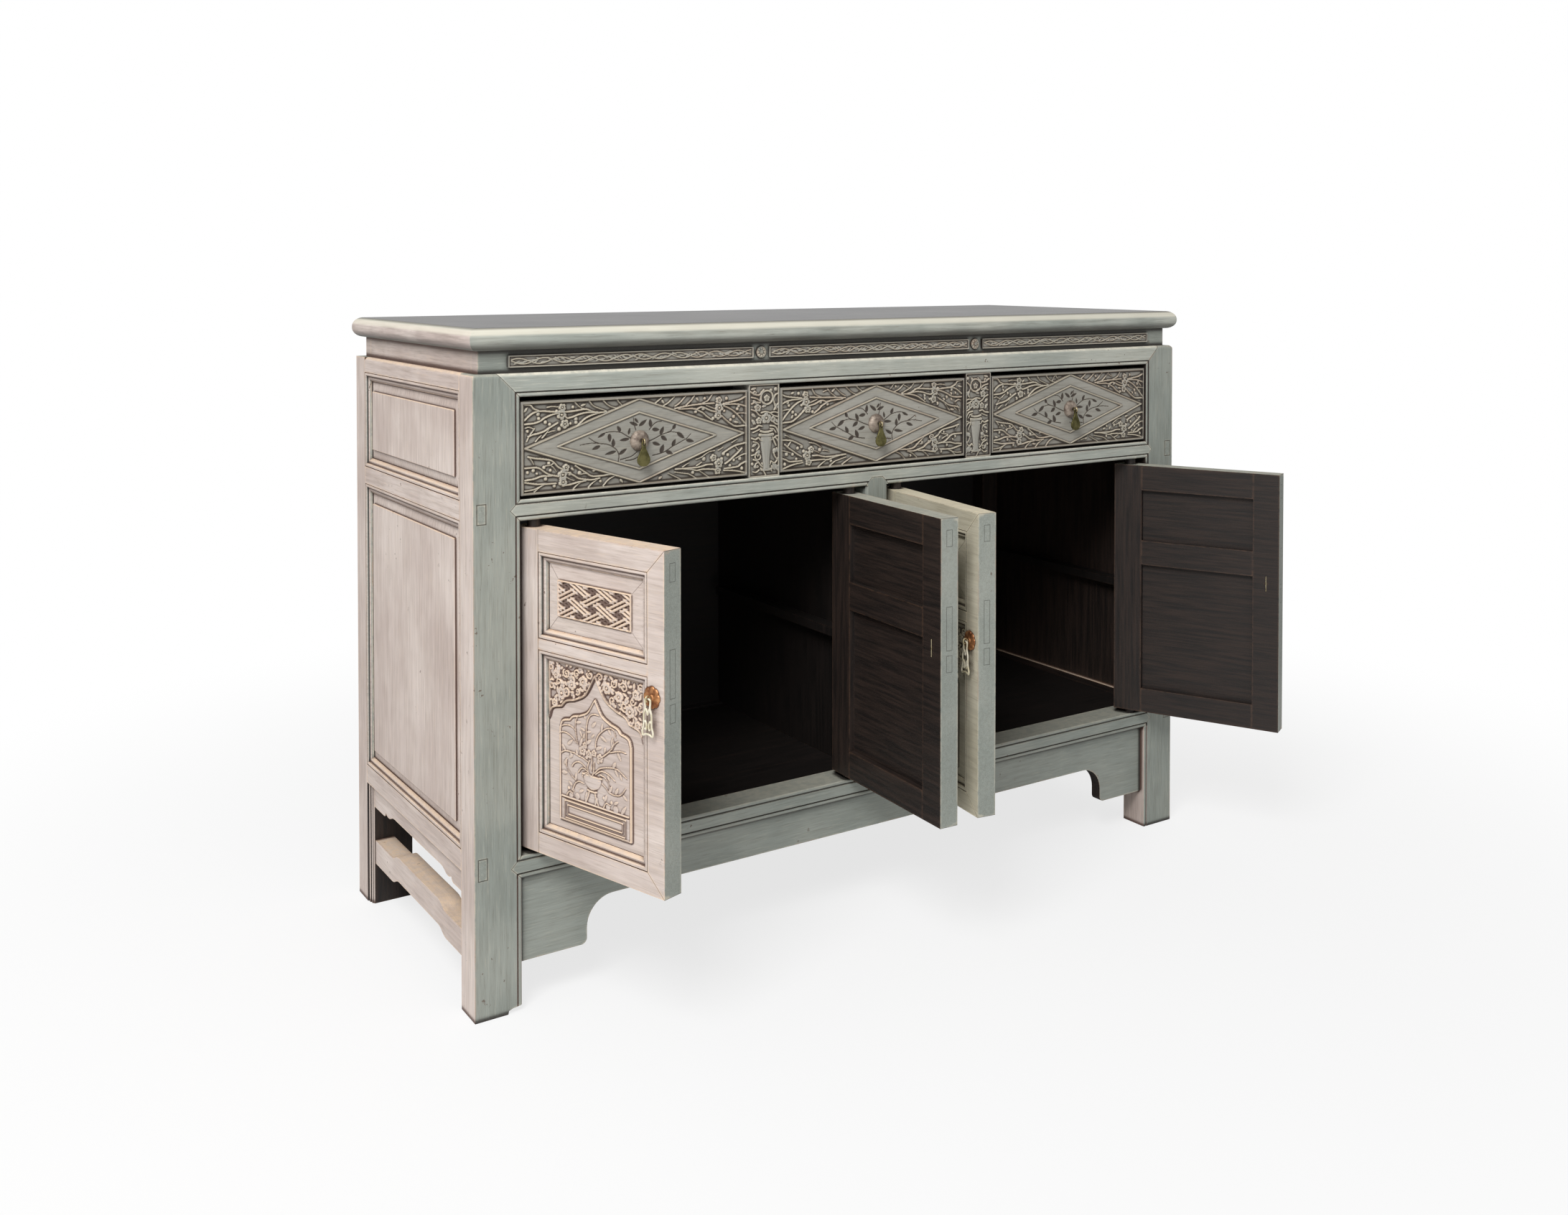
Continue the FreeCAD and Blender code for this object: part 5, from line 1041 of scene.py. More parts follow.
# %% Carving the dividers
DIVIDER_WIDE, DIVIDER_HIGH, DIVIDER_SINK, DIVIDER_STEP = 50.0, 130.0, 2.0, 0.5
VASE = ((-9, 9.5), (-14, 9.6), (-22, 8.6), (-30, 7.4), (-38, 6.2), (-46, 5.6), (-54, 6.6))
VASE_MIDDLE = 4.0
DIVIDER_STEMS = [
    ([(-22, 55), (-15, 51), (-8, 50), (-4, 53), (0, 57)], 2.8),
    ([(-4, 54), (-5, 48), (-6, 41)], 2.6), ([(-20, 47), (-12, 45), (-7, 42)], 2.4),
    ([(-20, 38), (-14, 40), (-6, 39)], 2.6), ([(-20, 30), (-13, 27), (-8, 22), (-3, 20)], 2.4),
    ([(24, 51), (19, 49), (16, 43), (18, 36), (20, 29)], 2.4),
    ([(24, 37), (20, 33), (17, 28)], 2.4),
    ([(-4, 25), (3, 26), (10, 24), (16, 20), (23, 18)], 2.6), ([(10, 24), (18, 25), (24, 23)], 2.2),
    ([(11, 14), (16, 11), (20, 8), (25, 7)], 2.6), ([(-21, 3), (-14, 4), (-9, 7), (-3, 6)], 2.8),
    ([(-18, -2), (-12, 0), (-7, 2)], 2.2), ([(11, 6), (17, 5), (21, 2), (24, -4)], 2.8),
    ([(11, 2), (16, 1), (20, -4)], 2.2), ([(-20, -10), (-14, -12), (-9, -10), (-6, -13)], 2.8),
    ([(-17, -15), (-11, -17), (-8, -22), (-12, -27)], 2.2),
    ([(14, -10), (17, -16), (20, -22)], 2.6),
    ([(15, -11), (20, -12), (24, -17)], 2.4), ([(17, -11), (21, -9), (25, -9)], 2.2),
    ([(-20, -34), (-15, -33), (-11, -34)], 2.2),
    ([(-17, -40), (-10, -43), (-5, -49), (0, -53)], 2.6),
    ([(-5, -53), (0, -58), (3, -63)], 2.4), ([(-8, -55), (-13, -58), (-18, -57)], 2.2),
    ([(12, -44), (17, -47), (21, -44), (23, -40)], 2.4), ([(11, -45), (9, -52), (13, -58)], 2.2),
    ([(16, -32), (18, -37), (21, -41)], 2.4)]
DIVIDER_LEAVES = [(-18, 43, -10, 36, 5), (-3, 33, 5, 35, 4), (24, 30, 17, 38, 5),
                  (14, -45, 25, -59, 6.5), (-4, -45, 4, -52, 5.5), (12, -50, 19, -57, 5),
                  (-20, 16, -13, 9, 5), (-20, 24, -13, 19, 5), (19, 15, 24, 9, 4.5),
                  (-19, -22, -11, -17, 4.5), (21, -25, 24, -33, 4.5), (-21, 58, -12, 60, 4)]
DIVIDER_FLOWERS = [(4, 17, 8.5), (-8, 14, 5.2), (-10, 32, 6), (5, 45, 5), (15, 15, 4.6),
                   (-15, 53, 3.6)]
DIVIDER_BUDS = [(-16, 11, 2.6), (18, -29.5, 3.6), (-9, -30, 3.6), (-14, -50, 3), (22, -52, 2.6),
                (-19, -46, 2.4), (20, 57, 3), (-18, -27, 2.4), (0, 38, 2.2), (12, 56, 2.4)]


def flip(points, mirror):
    """Points as they are, or mirrored from left to right where mirror is -1."""
    return [(mirror * x, y) for x, y in points]


def hoop(middle, level, reach, sag):
    """A band across a round body, lowest at its middle."""
    return [(middle + k * reach, level + sag * k * k) for k in (-1, -0.5, 0, 0.5, 1)]


def divider_relief(mirror):
    work = Relief(DIVIDER_WIDE, DIVIDER_HIGH, DIVIDER_STEP)
    base = -DIVIDER_SINK
    work.level[:] = base
    loop = [(5 + 10 * math.cos(a), 46 + 9.5 * math.sin(a)) for a in np.linspace(0, 2 * np.pi, 26)]
    work.stroke(flip(loop, mirror), 2.8, base, 2.3)
    for points, wide in DIVIDER_STEMS:
        work.stroke(flip(points, mirror), wide, base, 2.2, 0.15)
    for x, y, tip_x, tip_y, wide in DIVIDER_LEAVES:
        work.leaf((mirror * x, y), (mirror * tip_x, tip_y), wide, base, 2.0)
    for x, y, radius in DIVIDER_FLOWERS:
        work.blossom(mirror * x, y, radius, base, 2.4)
    for x, y, radius in DIVIDER_BUDS:
        work.bud(mirror * x, y, radius, base, 1.9)
    work.scroll(mirror * -9, -36, 6.5, 1.2, 2.0, 2.4, base, 2.1, mirror)
    work.scroll(mirror * -11, -49, 5.0, 1.0, 0.5, 2.2, base, 2.1, mirror)
    off = np.abs(work.u - mirror * VASE_MIDDLE)
    half = np.interp(-work.v, [-v for v, _ in VASE], [h for _, h in VASE])
    body = (off < half) & (work.v < VASE[0][0]) & (work.v > VASE[-1][0])
    round_body = 2.3 * np.sqrt(np.clip(1 - (off / half) ** 2, 0, 1))
    flutes = 0.28 * np.abs(np.sin(off / half * 3.2 * np.pi)) * (work.v < -16)
    work.level = np.where(body, base + round_body - flutes, work.level)
    for y, wide, reach in ((-2.5, 3.2, 9.5), (-7, 4.6, 10.5), (-14.5, 1.6, 9.5), (-55.5, 3.6, 8)):
        sag = 1.8 if y > -5 else 0.8
        work.stroke(flip(hoop(VASE_MIDDLE, y, reach, sag), mirror), wide, base, 2.5)
    # The sunk ground is darkened: painted shade.
    work.darken(base + 0.8, 0.4)
    rim = np.clip((2.2 - work.inset()) / 0.7, 0, 1)
    work.shade *= 1 - rim
    work.level = np.maximum(work.level, rim * DIVIDER_SINK - DIVIDER_SINK)
    work.level = np.minimum(work.level, 0.0)
    wavering(work, 0.05, 11)
    return work


finishes["carved_upright"] = painted("carved_upright_paint", "carved", "z", carved=True,
                                     hidden=unpainted)
for name, mirror in (("left_drawer_divider", 1), ("right_drawer_divider", -1)):
    middle, thick = front_of(name)
    board = carved_board(f"{name}_carving", divider_relief(mirror), face(middle, *FACING_FRONT),
                         thick)
    fit(board, finishes["carved_upright"], "root", "front_paint", name)

# %% [markdown]
# ## The door panels
# The upper panel slopes up to a raised tablet, carved as a mat of slats that pass over and
# under each other. The slats run 26 degrees up and down, four to a bundle, and the middle
# two of each bundle float over the whole crossing. The lower panel has a pointed arch:
# scrolls and flowers fill its corners, a smooth channel follows, and a raised plaque holds
# a pot of flowers over a framed plinth. Doors hinged on the right have the mirror image.

# %% The slats of the upper panel
PANEL_WIDE, UPPER_HIGH, LOWER_HIGH, TONGUE = 168.5, 84.0, 207.0, 13.0
UPPER_STEP, LOWER_STEP = 0.55, 0.72
TABLET_HALF, TABLET_UP, BORDER_RISE = (65.25, 23.0), 4.5, 2.0
SLAT_PITCH, SLAT_HALF, SLAT_ANGLE = 6.5, 1.75, math.radians(25.7)
BUNDLE = 4


def panel_board(mirror, high, step):
    """A panel's grid: it runs on behind the moulding of the hinge stile, as its board does."""
    return Relief(PANEL_WIDE + TONGUE, high, step, -mirror * TONGUE / 2)


def behind_moulding(work):
    hidden = np.abs(work.u) > PANEL_WIDE / 2 + 0.2
    work.level[hidden] = -0.4
    return work


def passes_over(slat, crossing, rising):
    """1 where a slat passes over the one it crosses."""
    odd = (np.floor(slat / BUNDLE) + np.floor(crossing / BUNDLE)) % 2 == rising
    middle, crossed = (np.isin(number % BUNDLE, (1, 2)) for number in (slat, crossing))
    return np.where(odd, middle | crossed, middle & ~crossed).astype(float)


def upper_relief(mirror):
    work = panel_board(mirror, UPPER_HIGH, UPPER_STEP)
    across, up = np.abs(work.u) - TABLET_HALF[0], np.abs(work.v) - TABLET_HALF[1]
    outside = np.maximum(across, up)
    border = max(PANEL_WIDE / 2 - TABLET_HALF[0], UPPER_HIGH / 2 - TABLET_HALF[1])
    work.level = BORDER_RISE * np.clip(1 - np.maximum(outside, 0) / border, 0, 1)
    for sx in (-1, 1):
        for sy in (-1, 1):
            corner = np.array((sx * (TABLET_HALF[0] + 1), sy * (TABLET_HALF[1] + 1)))
            work.groove([corner, corner + (sx * 17, sy * 17)], 0.9, 0.25, soft=False, ink=0.7)
    u, v = mirror * work.u + 4.0, work.v + 6.0
    first = (u / math.cos(SLAT_ANGLE) - v / math.sin(SLAT_ANGLE)) / 2
    second = (u / math.cos(SLAT_ANGLE) + v / math.sin(SLAT_ANGLE)) / 2
    squash = math.sin(2 * SLAT_ANGLE)
    mat = np.full_like(work.u, 0.4)
    for along, aside, rising in ((first, second, False), (second, first, True)):
        slat = np.floor(aside / SLAT_PITCH)
        off = (aside / SLAT_PITCH - slat - 0.5) * SLAT_PITCH * squash
        place = along / SLAT_PITCH - 0.5
        before, ease = np.floor(place), place - np.floor(place)
        ease = ease * ease * (3 - 2 * ease)
        high = (passes_over(slat, before, rising) * (1 - ease)
                + passes_over(slat, before + 1, rising) * ease)
        top = np.sqrt(np.clip(1 - (off / SLAT_HALF) ** 2, 0, 1))
        mat = np.maximum(mat, np.where(np.abs(off) < SLAT_HALF, 0.8 + 1.5 * high + 1.6 * top, 0))
    tablet = outside < 0
    work.level = np.where(tablet, mat, work.level)
    rim = np.clip(1.6 - np.abs(outside + 0.9) / 0.8, 0, 1)
    work.level = np.maximum(work.level, np.where(outside < 0.3, rim * 4.3, 0))
    work.level = np.minimum(work.level, TABLET_UP)
    # The lower slats and the gaps of the mat are darkened: painted shade.
    work.darken(3.3, 0.88, tablet, 0.9)
    wavering(work, 0.06, 5)
    return behind_moulding(work)


# %% The pot of flowers on the plaque
PLAQUE_STEMS = [
    [(-64, 16.5), (-55.5, 18.5), (-48, 17.5), (-40, 14.5), (-33.5, 9.5)],
    [(-62, 22.5), (-60, 25.5), (-52.5, 28), (-43, 28.5), (-34.5, 24.5)],
    [(-30.5, 8.5), (-33.5, 19.5), (-34.5, 26.5), (-34.5, 34.5), (-32.5, 41), (-28, 46)],
    [(-14.5, 10.5), (-14.5, 30.5), (-12.5, 41), (-8, 48), (-1, 51), (7.5, 51)],
    [(1.5, 10.5), (2.5, 18.5), (6.5, 26.5), (13, 32.5), (21.5, 38), (29.5, 39.5), (35, 37),
     (37, 30.5)],
    [(10.5, 0), (19, 5), (25.5, 10.5), (32, 16.5), (36, 22.5), (41.5, 26.5)],
    [(17, 4), (23.5, 8.5), (29.5, 10.5), (39, 13.5), (47.5, 15), (55, 14.5)],
    [(-60, -8), (-54.5, -5), (-46, -4), (-37.5, -4), (-29.5, -6), (-22, -7), (-12.5, -10)],
    [(-50.5, -14), (-51.5, -22.5), (-47, -28.5), (-42, -33.5), (-33.5, -37.5)],
    [(-41, -21.5), (-37.5, -17), (-31.5, -14), (-24, -14), (-14.5, -19)],
    [(-29.5, -26.5), (-25, -21.5), (-20, -19.5), (-11.5, -22.5)],
    [(-22, -29.5), (-18.5, -25.5), (-13.5, -24), (-8, -25.5)],
    [(-4, -24.5), (2.5, -19), (8.5, -14), (17, -11), (26.5, -9), (34, -8), (42.5, -9), (56, -16)],
    [(1.5, -22.5), (10.5, -17), (19, -16.5), (27.5, -19), (36, -23.5)],
    [(9.5, -21.5), (17, -22.5), (23.5, -27.5), (26.5, -33.5)],
    [(13, -31.5), (20, -35.5), (25.5, -39.5), (34, -40.5), (42.5, -39.5), (48.5, -35.5),
     (54, -28.5)],
    [(-40, -51), (-36.5, -43.5), (-32.5, -39.5), (-27, -37.5), (-20, -38.5)],
    [(-9.5, -8), (-12.5, -16), (-10.5, -23.5)], [(-1, -8), (-1, -15), (-3, -23.5)],
    [(-5, 0), (-5, -10), (-6, -20)], [(-50.5, -59), (-46, -54), (-40, -55)],
    [(16, -60), (20, -54), (27.5, -55)], [(30.5, 16.5), (34, 22.5), (32, 28.5)]]
PLAQUE_LEAVES = [
    (-33.5, 34.5, -24, 37, 4), (-27, 25.5, -22, 18.5, 3.8), (-32.5, 39, -30.5, 47, 3.8),
    (-20, 49, -16.5, 42, 4), (-17.5, 27.5, -26, 29.5, 3.6), (-14.5, 26.5, -6, 28.5, 3.4),
    (-6, 21.5, 0, 26.5, 3.4), (-5, 34.5, 2.5, 42, 4.8), (12, 32.5, 14, 43, 4),
    (10.5, 26.5, 21.5, 21.5, 4.4), (-27, 6, -22, 18.5, 4.6), (-15.5, 11.5, -6, 18.5, 5),
    (1.5, 8.5, 13, 13.5, 5), (19, 14.5, 17, 7, 4), (30.5, 17.5, 30.5, 27.5, 4.4),
    (40, 12.5, 46.5, 3, 4.6), (-49.5, 4, -40, 11.5, 5), (-60, 2, -52.5, -4, 4.8),
    (-46, -12, -40, -6, 4.6), (-55.5, -21.5, -49.5, -14, 5.4), (-60, -32.5, -49.5, -31.5, 5.8),
    (-34.5, -37.5, -33.5, -27.5, 4.2), (32, -8, 37, 0, 5.6), (35, -9, 41.5, -17, 4.4),
    (25.5, -39.5, 30.5, -30.5, 5), (36, -39.5, 41.5, -30.5, 5), (49.5, -37.5, 57, -42.5, 4.4),
    (22.5, -19, 26.5, -25.5, 4), (17, -52, 21.5, -43.5, 5), (46.5, -61, 55, -50, 5.4),
    (-28, -51, -20, -46.5, 4.4), (-41, -45.5, -48, -41.5, 4.4), (34, -52, 41.5, -47.5, 4.4),
    (4.5, -51, 0, -61, 5), (-13.5, -47.5, -17.5, -61, 5), (-20, 17.5, -18.5, 24.5, 3.6),
    (23.5, 38, 29.5, 31.5, 3.6), (44.5, -13, 47.5, -20, 4), (-45, -4, -40, -10, 4),
    (-31.5, -5, -33.5, 1, 3.8)]
PLAQUE_FLOWERS = [(-22, 2, 6.6), (-10.5, 0, 5.8), (9.5, -1, 5.8), (-17.5, 9.5, 4.4), (-1, 3, 4.6)]
PLAQUE_BUDS = [(-43, -58, 3.8), (-31.5, -57, 4.4), (23.5, -58, 4), (37, -58, 4.8),
               (-47, -50, 2.4), (-39, -51, 2.2), (29.5, -51, 2.4), (16, -48.5, 2.2),
               (6.5, -6, 2.6), (-14.5, -5, 2.4)]
POT_MIDDLE, POT_TOP, POT_LOW, POT_HALF, POT_SAG = -4.5, -27.0, -43.0, 16.0, 0.8

# %% The lower panel
SIDE_ARCS = (((1, 0), (0.93, 0.2), (0.72, 0.28)), ((0.72, 0.28), (0.63, 0.39), (0.44, 0.455)),
             ((0.44, 0.455), (0.2, 0.62), (0, 1)))
ARCH = (84.25, 31.05, 66.25)
PLAQUE = (64.25, 23.8, 45.5)
PLAQUE_INSET, PLAQUE_FOOT, PLINTH_TOP, PLINTH_MIDDLE = 1.4, -91.5, -62.0, -77.5
CORNERS_UP, FIELD_UP = 3.0, 1.8
CORNER_GROUND, CORNER_LEAVES = 0.2, 150
CORNER_FLOWERS = ((-61, 66, 8.6), (-21, 87, 8.0), (-42, 80, 7.2), (-71, 88, 6.4), (-74, 52, 5.6))
CORNER_SCROLLS = ((-51, 93, 6.5, 1.3, 2.6), (-33, 95, 5.5, 1.2, 0.4), (-52, 70, 6.0, 1.2, 5.0),
                  (-79, 74, 6.5, 1.3, 1.2), (-9, 98, 5.5, 1.1, 3.0), (-31, 74, 5.0, 1.0, 4.2),
                  (-66, 79, 5.0, 1.1, 0.0), (-80, 97, 5.0, 1.2, 2.0))


def arch_line(half, spring, rise):
    """From the right springing to the tip."""
    arcs = [smooth([(half * x, spring + rise * y) for x, y in arc], 7) for arc in SIDE_ARCS]
    return np.vstack(arcs)


def fill_corner(work, side, seed):
    """Flowers, scrolls and leaves over one corner above the arch."""
    dice = np.random.default_rng(seed)
    for x, y, radius in CORNER_FLOWERS:
        work.blossom(side * x, y, radius, CORNER_GROUND, 2.7, 6, dice.uniform(0, 1))
    for x, y, radius, turns, start in CORNER_SCROLLS:
        work.scroll(side * x, y, radius, turns, start, 2.5, CORNER_GROUND, 2.6, side)
    for _ in range(CORNER_LEAVES):
        x, y = dice.uniform(-83, -3), dice.uniform(38, 103)
        a, long = dice.uniform(0, 2 * math.pi), dice.uniform(6, 9)
        work.leaf((side * x, y), (side * x + long * math.cos(a), y + long * math.sin(a)),
                  dice.uniform(3.4, 5.0), CORNER_GROUND, dice.uniform(1.4, 2.5))


def pot(work, mirror):
    """A bowl with a lip, a waist and a foot, on two legs."""
    up = (work.v - POT_LOW) / (POT_TOP - POT_LOW)
    half = POT_HALF * np.sqrt(np.clip(1 - (1 - np.clip(up, 0, 1)) ** 2.2, 0, 1))
    off = np.abs(work.u - mirror * POT_MIDDLE)
    bowl = FIELD_UP + 1.5 * np.sqrt(np.clip(1 - (off / (half + 0.1)) ** 2, 0, 1))
    work.level = np.where((up > 0) & (up < 1) & (off < half), bowl, work.level)
    for y, reach, wide in ((-26.8, 17, 2.4), (-30.3, 14, 1.3), (-45.3, 8, 2.2)):
        work.stroke(flip(hoop(POT_MIDDLE, y, reach, POT_SAG), mirror), wide, FIELD_UP, 1.4)
    for side in (-1, 1):
        leg = [(POT_MIDDLE + side * out, y) for out, y in ((5, -45), (7, -52), (11, -60))]
        work.stroke(flip(leg, mirror), 2.4, FIELD_UP - 0.2, 1.4, 0.3)


def plaque_relief(mirror):
    """The flowers in their pot over a framed plinth, all on a field of one height."""
    work = panel_board(mirror, LOWER_HIGH, LOWER_STEP)
    work.level[:] = FIELD_UP
    for stem in PLAQUE_STEMS:
        work.stroke(flip(stem, mirror), 1.9, FIELD_UP - 0.3, 1.5, 0.25)
        # A dark cut just right of and below each stem: a painted shadow.
        shadow_line = [(mirror * x + 1.0, y - 1.1) for x, y in stem]
        work.groove(shadow_line, 1.1, 0.45, 0.3, ink=0.75)
    for x, y, tip_x, tip_y, wide in PLAQUE_LEAVES:
        work.leaf((mirror * x, y), (mirror * tip_x, tip_y), wide, FIELD_UP - 0.2, 1.3)
    for x, y, radius in PLAQUE_FLOWERS:
        work.blossom(mirror * x, y, radius, FIELD_UP - 0.3, 1.7)
    for x, y, radius in PLAQUE_BUDS:
        work.bud(mirror * x, y, radius, FIELD_UP - 0.2, 1.3)
    pot(work, mirror)
    work.stroke([(-60, PLINTH_TOP), (60, PLINTH_TOP)], 2.2, FIELD_UP, 1.3, soft=False)
    # A dark cut just below the plinth's top bead: a painted shadow.
    work.groove([(-60, PLINTH_TOP - 2.2), (60, PLINTH_TOP - 2.2)], 1.4, 0.8, soft=False)
    for across, up in ((54, 10.75), (49, 5.75)):
        ring = [(x * across, PLINTH_MIDDLE + y * up) for x, y in
                ((-1, -1), (1, -1), (1, 1), (-1, 1), (-1, -1))]
        work.stroke(ring, 2.0, FIELD_UP, 1.3, soft=False)
        # The same rings moved right and down, cut dark: a painted shadow.
        ring = [(x + 0.4, y - 1.5) for x, y in ring]
        work.groove(ring, 1.3, 0.7, soft=False, ink=0.8)
    return work


def lower_relief(mirror):
    work = panel_board(mirror, LOWER_HIGH, LOWER_STEP)
    arch, edging = arch_line(*ARCH), arch_line(*PLAQUE)
    across = np.abs(work.u)
    arch_up = np.interp(across, arch[::-1, 0], arch[::-1, 1])
    plaque_up = np.interp(across, edging[::-1, 0], edging[::-1, 1])
    corner = work.v > arch_up
    field = (across < PLAQUE[0]) & (work.v < plaque_up) & (work.v > PLAQUE_FOOT)
    work.level[corner] = CORNER_GROUND
    fill_corner(work, mirror, 21)
    fill_corner(work, -mirror, 22)
    # The low ground of the corners is darkened: painted shade.
    work.darken(1.3, 0.34, corner, 0.9)
    work.level[~corner] = 0.0
    for side in (-1, 1):
        line = arch * (side, 1)
        work.stroke(line + (0, 0.8), 2.6, 0.0, CORNERS_UP, soft=False)
        # A dark cut just under the arch's raised rim: a painted shadow.
        work.groove(line - (0, 1.8), 1.7, 0.6, soft=False, ink=0.9)
    work.level[corner & (PANEL_WIDE / 2 - across < 1.5)] = 1.5
    plaque = plaque_relief(mirror)
    work.level = np.where(field, plaque.level, work.level)
    work.ink = np.where(field, plaque.ink, work.ink)
    half, spring = PLAQUE[:2]
    inward = 1 - PLAQUE_INSET / half
    lines = [edging * (side * inward, inward) for side in (-1, 1)]
    lines += [np.array([(side * (half - PLAQUE_INSET), y) for y in (spring, PLAQUE_FOOT)])
              for side in (-1, 1)]
    lines.append(np.array([(side * (half - PLAQUE_INSET), PLAQUE_FOOT) for side in (-1, 1)]))
    for line in lines:
        work.stroke(line, 2.6, 0.4, 2.6, soft=False)
        work.groove(line * (0.966, 1) - (0, 1.6) * (line[:, 1:] > 0), 1.1, 0.5, soft=False, ink=0.7)
    work.level = np.minimum(work.level, 4.0)
    work.clean = 0.55
    wavering(work, 0.06, 8)
    return behind_moulding(work)


# %% Fitting the carved panels into the doors
PANEL_MIDDLE, UPPER_MIDDLE, LOWER_MIDDLE, PANEL_FACE, PANEL_THICK = 121.25, 532.0, 346.5, 6.0, 11.0
for name, place in doors.items():
    key = f"{name}_carved_paint"
    finishes[key] = painted(key, place.paint, "x", place.turn, carved=True, hidden=place.inside)
    for level, relief, up in (("upper", upper_relief(place.way), UPPER_MIDDLE),
                              ("lower", lower_relief(place.way), LOWER_MIDDLE)):
        origin = place.spot(PANEL_MIDDLE * MM, PANEL_FACE * MM, up * MM)
        board = carved_board(f"{name}_{level}_carving", relief,
                             face(origin, place.across, (0, 0, 1)), PANEL_THICK)
        slot = "side_paint" if place.paint == "side" else "front_paint"
        fit(board, finishes[key], name, slot, f"{name}_panels")

# %% [markdown]
# ## The waist's carved strips
# Three low strips with two leafy stems that cross each other again and again stand on the
# waist, each over its drawer, with a small flower between neighbours. They are carved on
# the same kind of grid, at a smaller scale.

# %% Strips and flowers on the waist
STRIP_LONG, STRIP_HIGH, STRIP_THICK, STRIP_STEP = 363.8, 15.0, 2.3, 0.55
STRIP_UP, WAIST_FACE = 826.5, FRONT + 9.5 * MM
STRIP_CENTRES, FLOWER_PLACES = (-391.33, 0.0, 391.33), (-195.67, 195.67)


def strip_relief(seed):
    work = Relief(STRIP_LONG, STRIP_HIGH, STRIP_STEP)
    dice = np.random.default_rng(seed)
    start = dice.uniform(0, 40)
    work.level[:] = 0.1
    x = np.arange(-STRIP_LONG / 2 + 4, STRIP_LONG / 2 - 3, 2.0)
    for phase in (0, 2.4):
        y = 3.6 * np.sin((x + start) * 2 * math.pi / 58 + phase)
        work.stroke(np.c_[x, y], 1.6, 0.1, 1.2, soft=False)
    for at in np.arange(-STRIP_LONG / 2 + 7, STRIP_LONG / 2 - 12, 5.2):
        at += dice.uniform(-1.5, 1.5)
        y, tip = dice.uniform(-4.6, 4.6), dice.uniform(-2.6, 2.6)
        work.leaf((at, y), (at + 8.5, tip), dice.uniform(2.0, 3.0), 0.1, 1.1)
    # The ground between the stems is darkened: painted shade.
    work.darken(0.7, 0.35, True, 0.5)
    rim = np.clip((1.5 - work.inset()) / 0.5, 0, 1)
    work.level = np.maximum(work.level, rim * 1.3)
    work.shade *= 1 - rim
    return work


for index, across in enumerate(STRIP_CENTRES):
    middle = (CENTRE + across * MM, WAIST_FACE, STRIP_UP * MM)
    strip = carved_board(f"waist_strip_{index + 1}", strip_relief(30 + index),
                         face(middle, *FACING_FRONT), STRIP_THICK)
    fit(strip, finishes["carved_front"], "root", "front_paint")

# %% [markdown]
# ## Turned and petalled metal
# Rosettes, drawer bosses and the small flowers on the waist are round. Each starts as half
# a section that is spun about its middle, and then the rim is drawn in between petals, as
# a smith would stamp it. The split pins, rings and pulls are bent wire, so they are curves
# with a round section, made into meshes.

# %% Spinning a petalled plate
def stand(origin, across, up):
    """From millimetres on a face to metres in the scene."""
    across, up = Vector(across), Vector(up)
    turn = Matrix((across, up, across.cross(up))).transposed().to_4x4()
    return Matrix.Translation(origin) @ turn @ Matrix.Scale(MM, 4)


def shaped(name, bm, where):
    """Turns a bmesh in millimetres into a piece in its place, with its faces outwards."""
    bmesh.ops.recalc_face_normals(bm, faces=bm.faces)
    bmesh.ops.transform(bm, matrix=where, verts=bm.verts)
    return into_scene(name, to_mesh(name, bm))


def petalled(name, section, where, petals, draw_in, dip):
    """A section of (radius, height) spun round, with its rim drawn in between petals."""
    bm = bmesh.new()
    line = [bm.verts.new((radius, 0, height)) for radius, height in section]
    edges = [bm.edges.new(pair) for pair in zip(line, line[1:])]
    bmesh.ops.spin(bm, geom=line + edges, cent=(0, 0, 0), axis=(0, 0, 1), angle=2 * math.pi,
                   steps=petals * 8, use_merge=True)
    bmesh.ops.remove_doubles(bm, verts=bm.verts, dist=0.001)
    rim = max(radius for radius, _ in section)
    for vert in bm.verts:
        far = math.hypot(vert.co.x, vert.co.y) / rim
        notch = (1 - abs(math.cos(math.atan2(vert.co.y, vert.co.x) * petals / 2))) ** 2
        vert.co.xy *= 1 - draw_in * notch * far ** 3
        vert.co.z *= 1 - dip * notch * min(1, far * 1.6)
    return shaped(name, bm, where)


# %% Bending wire and cutting sheet
def bent(name, lines, where, thick=0.0, sheet=0.0, edge=0.0):
    """lines are lists of points in millimetres, each closed or not. thick is the wire's
    radius. sheet makes a flat plate of that thickness instead, with a rounded edge."""
    curve = bpy.data.curves.new(name, "CURVE")
    curve.dimensions = "2D" if sheet else "3D"
    for points, closed in lines:
        spline = curve.splines.new("POLY")
        spline.points.add(len(points) - 1)
        for point, spot in zip(spline.points, points):
            point.co = (*spot, 0.0, 1.0) if len(spot) == 2 else (*spot, 1.0)
        spline.use_cyclic_u = closed
    curve.bevel_resolution = 3
    if sheet:
        curve.fill_mode, curve.extrude = "BOTH", sheet / 2 - edge
        curve.bevel_depth, curve.offset = edge, -edge
    else:
        curve.bevel_depth, curve.use_fill_caps = thick, True
    maker = bpy.data.objects.new(name + "_maker", curve)
    bpy.context.scene.collection.objects.link(maker)
    view = bpy.context.evaluated_depsgraph_get()
    mesh = bpy.data.meshes.new_from_object(maker.evaluated_get(view))
    bpy.data.objects.remove(maker)
    bm = bmesh.new()
    bm.from_mesh(mesh)
    bmesh.ops.remove_doubles(bm, verts=bm.verts, dist=0.001)
    return shaped(name, bm, where)


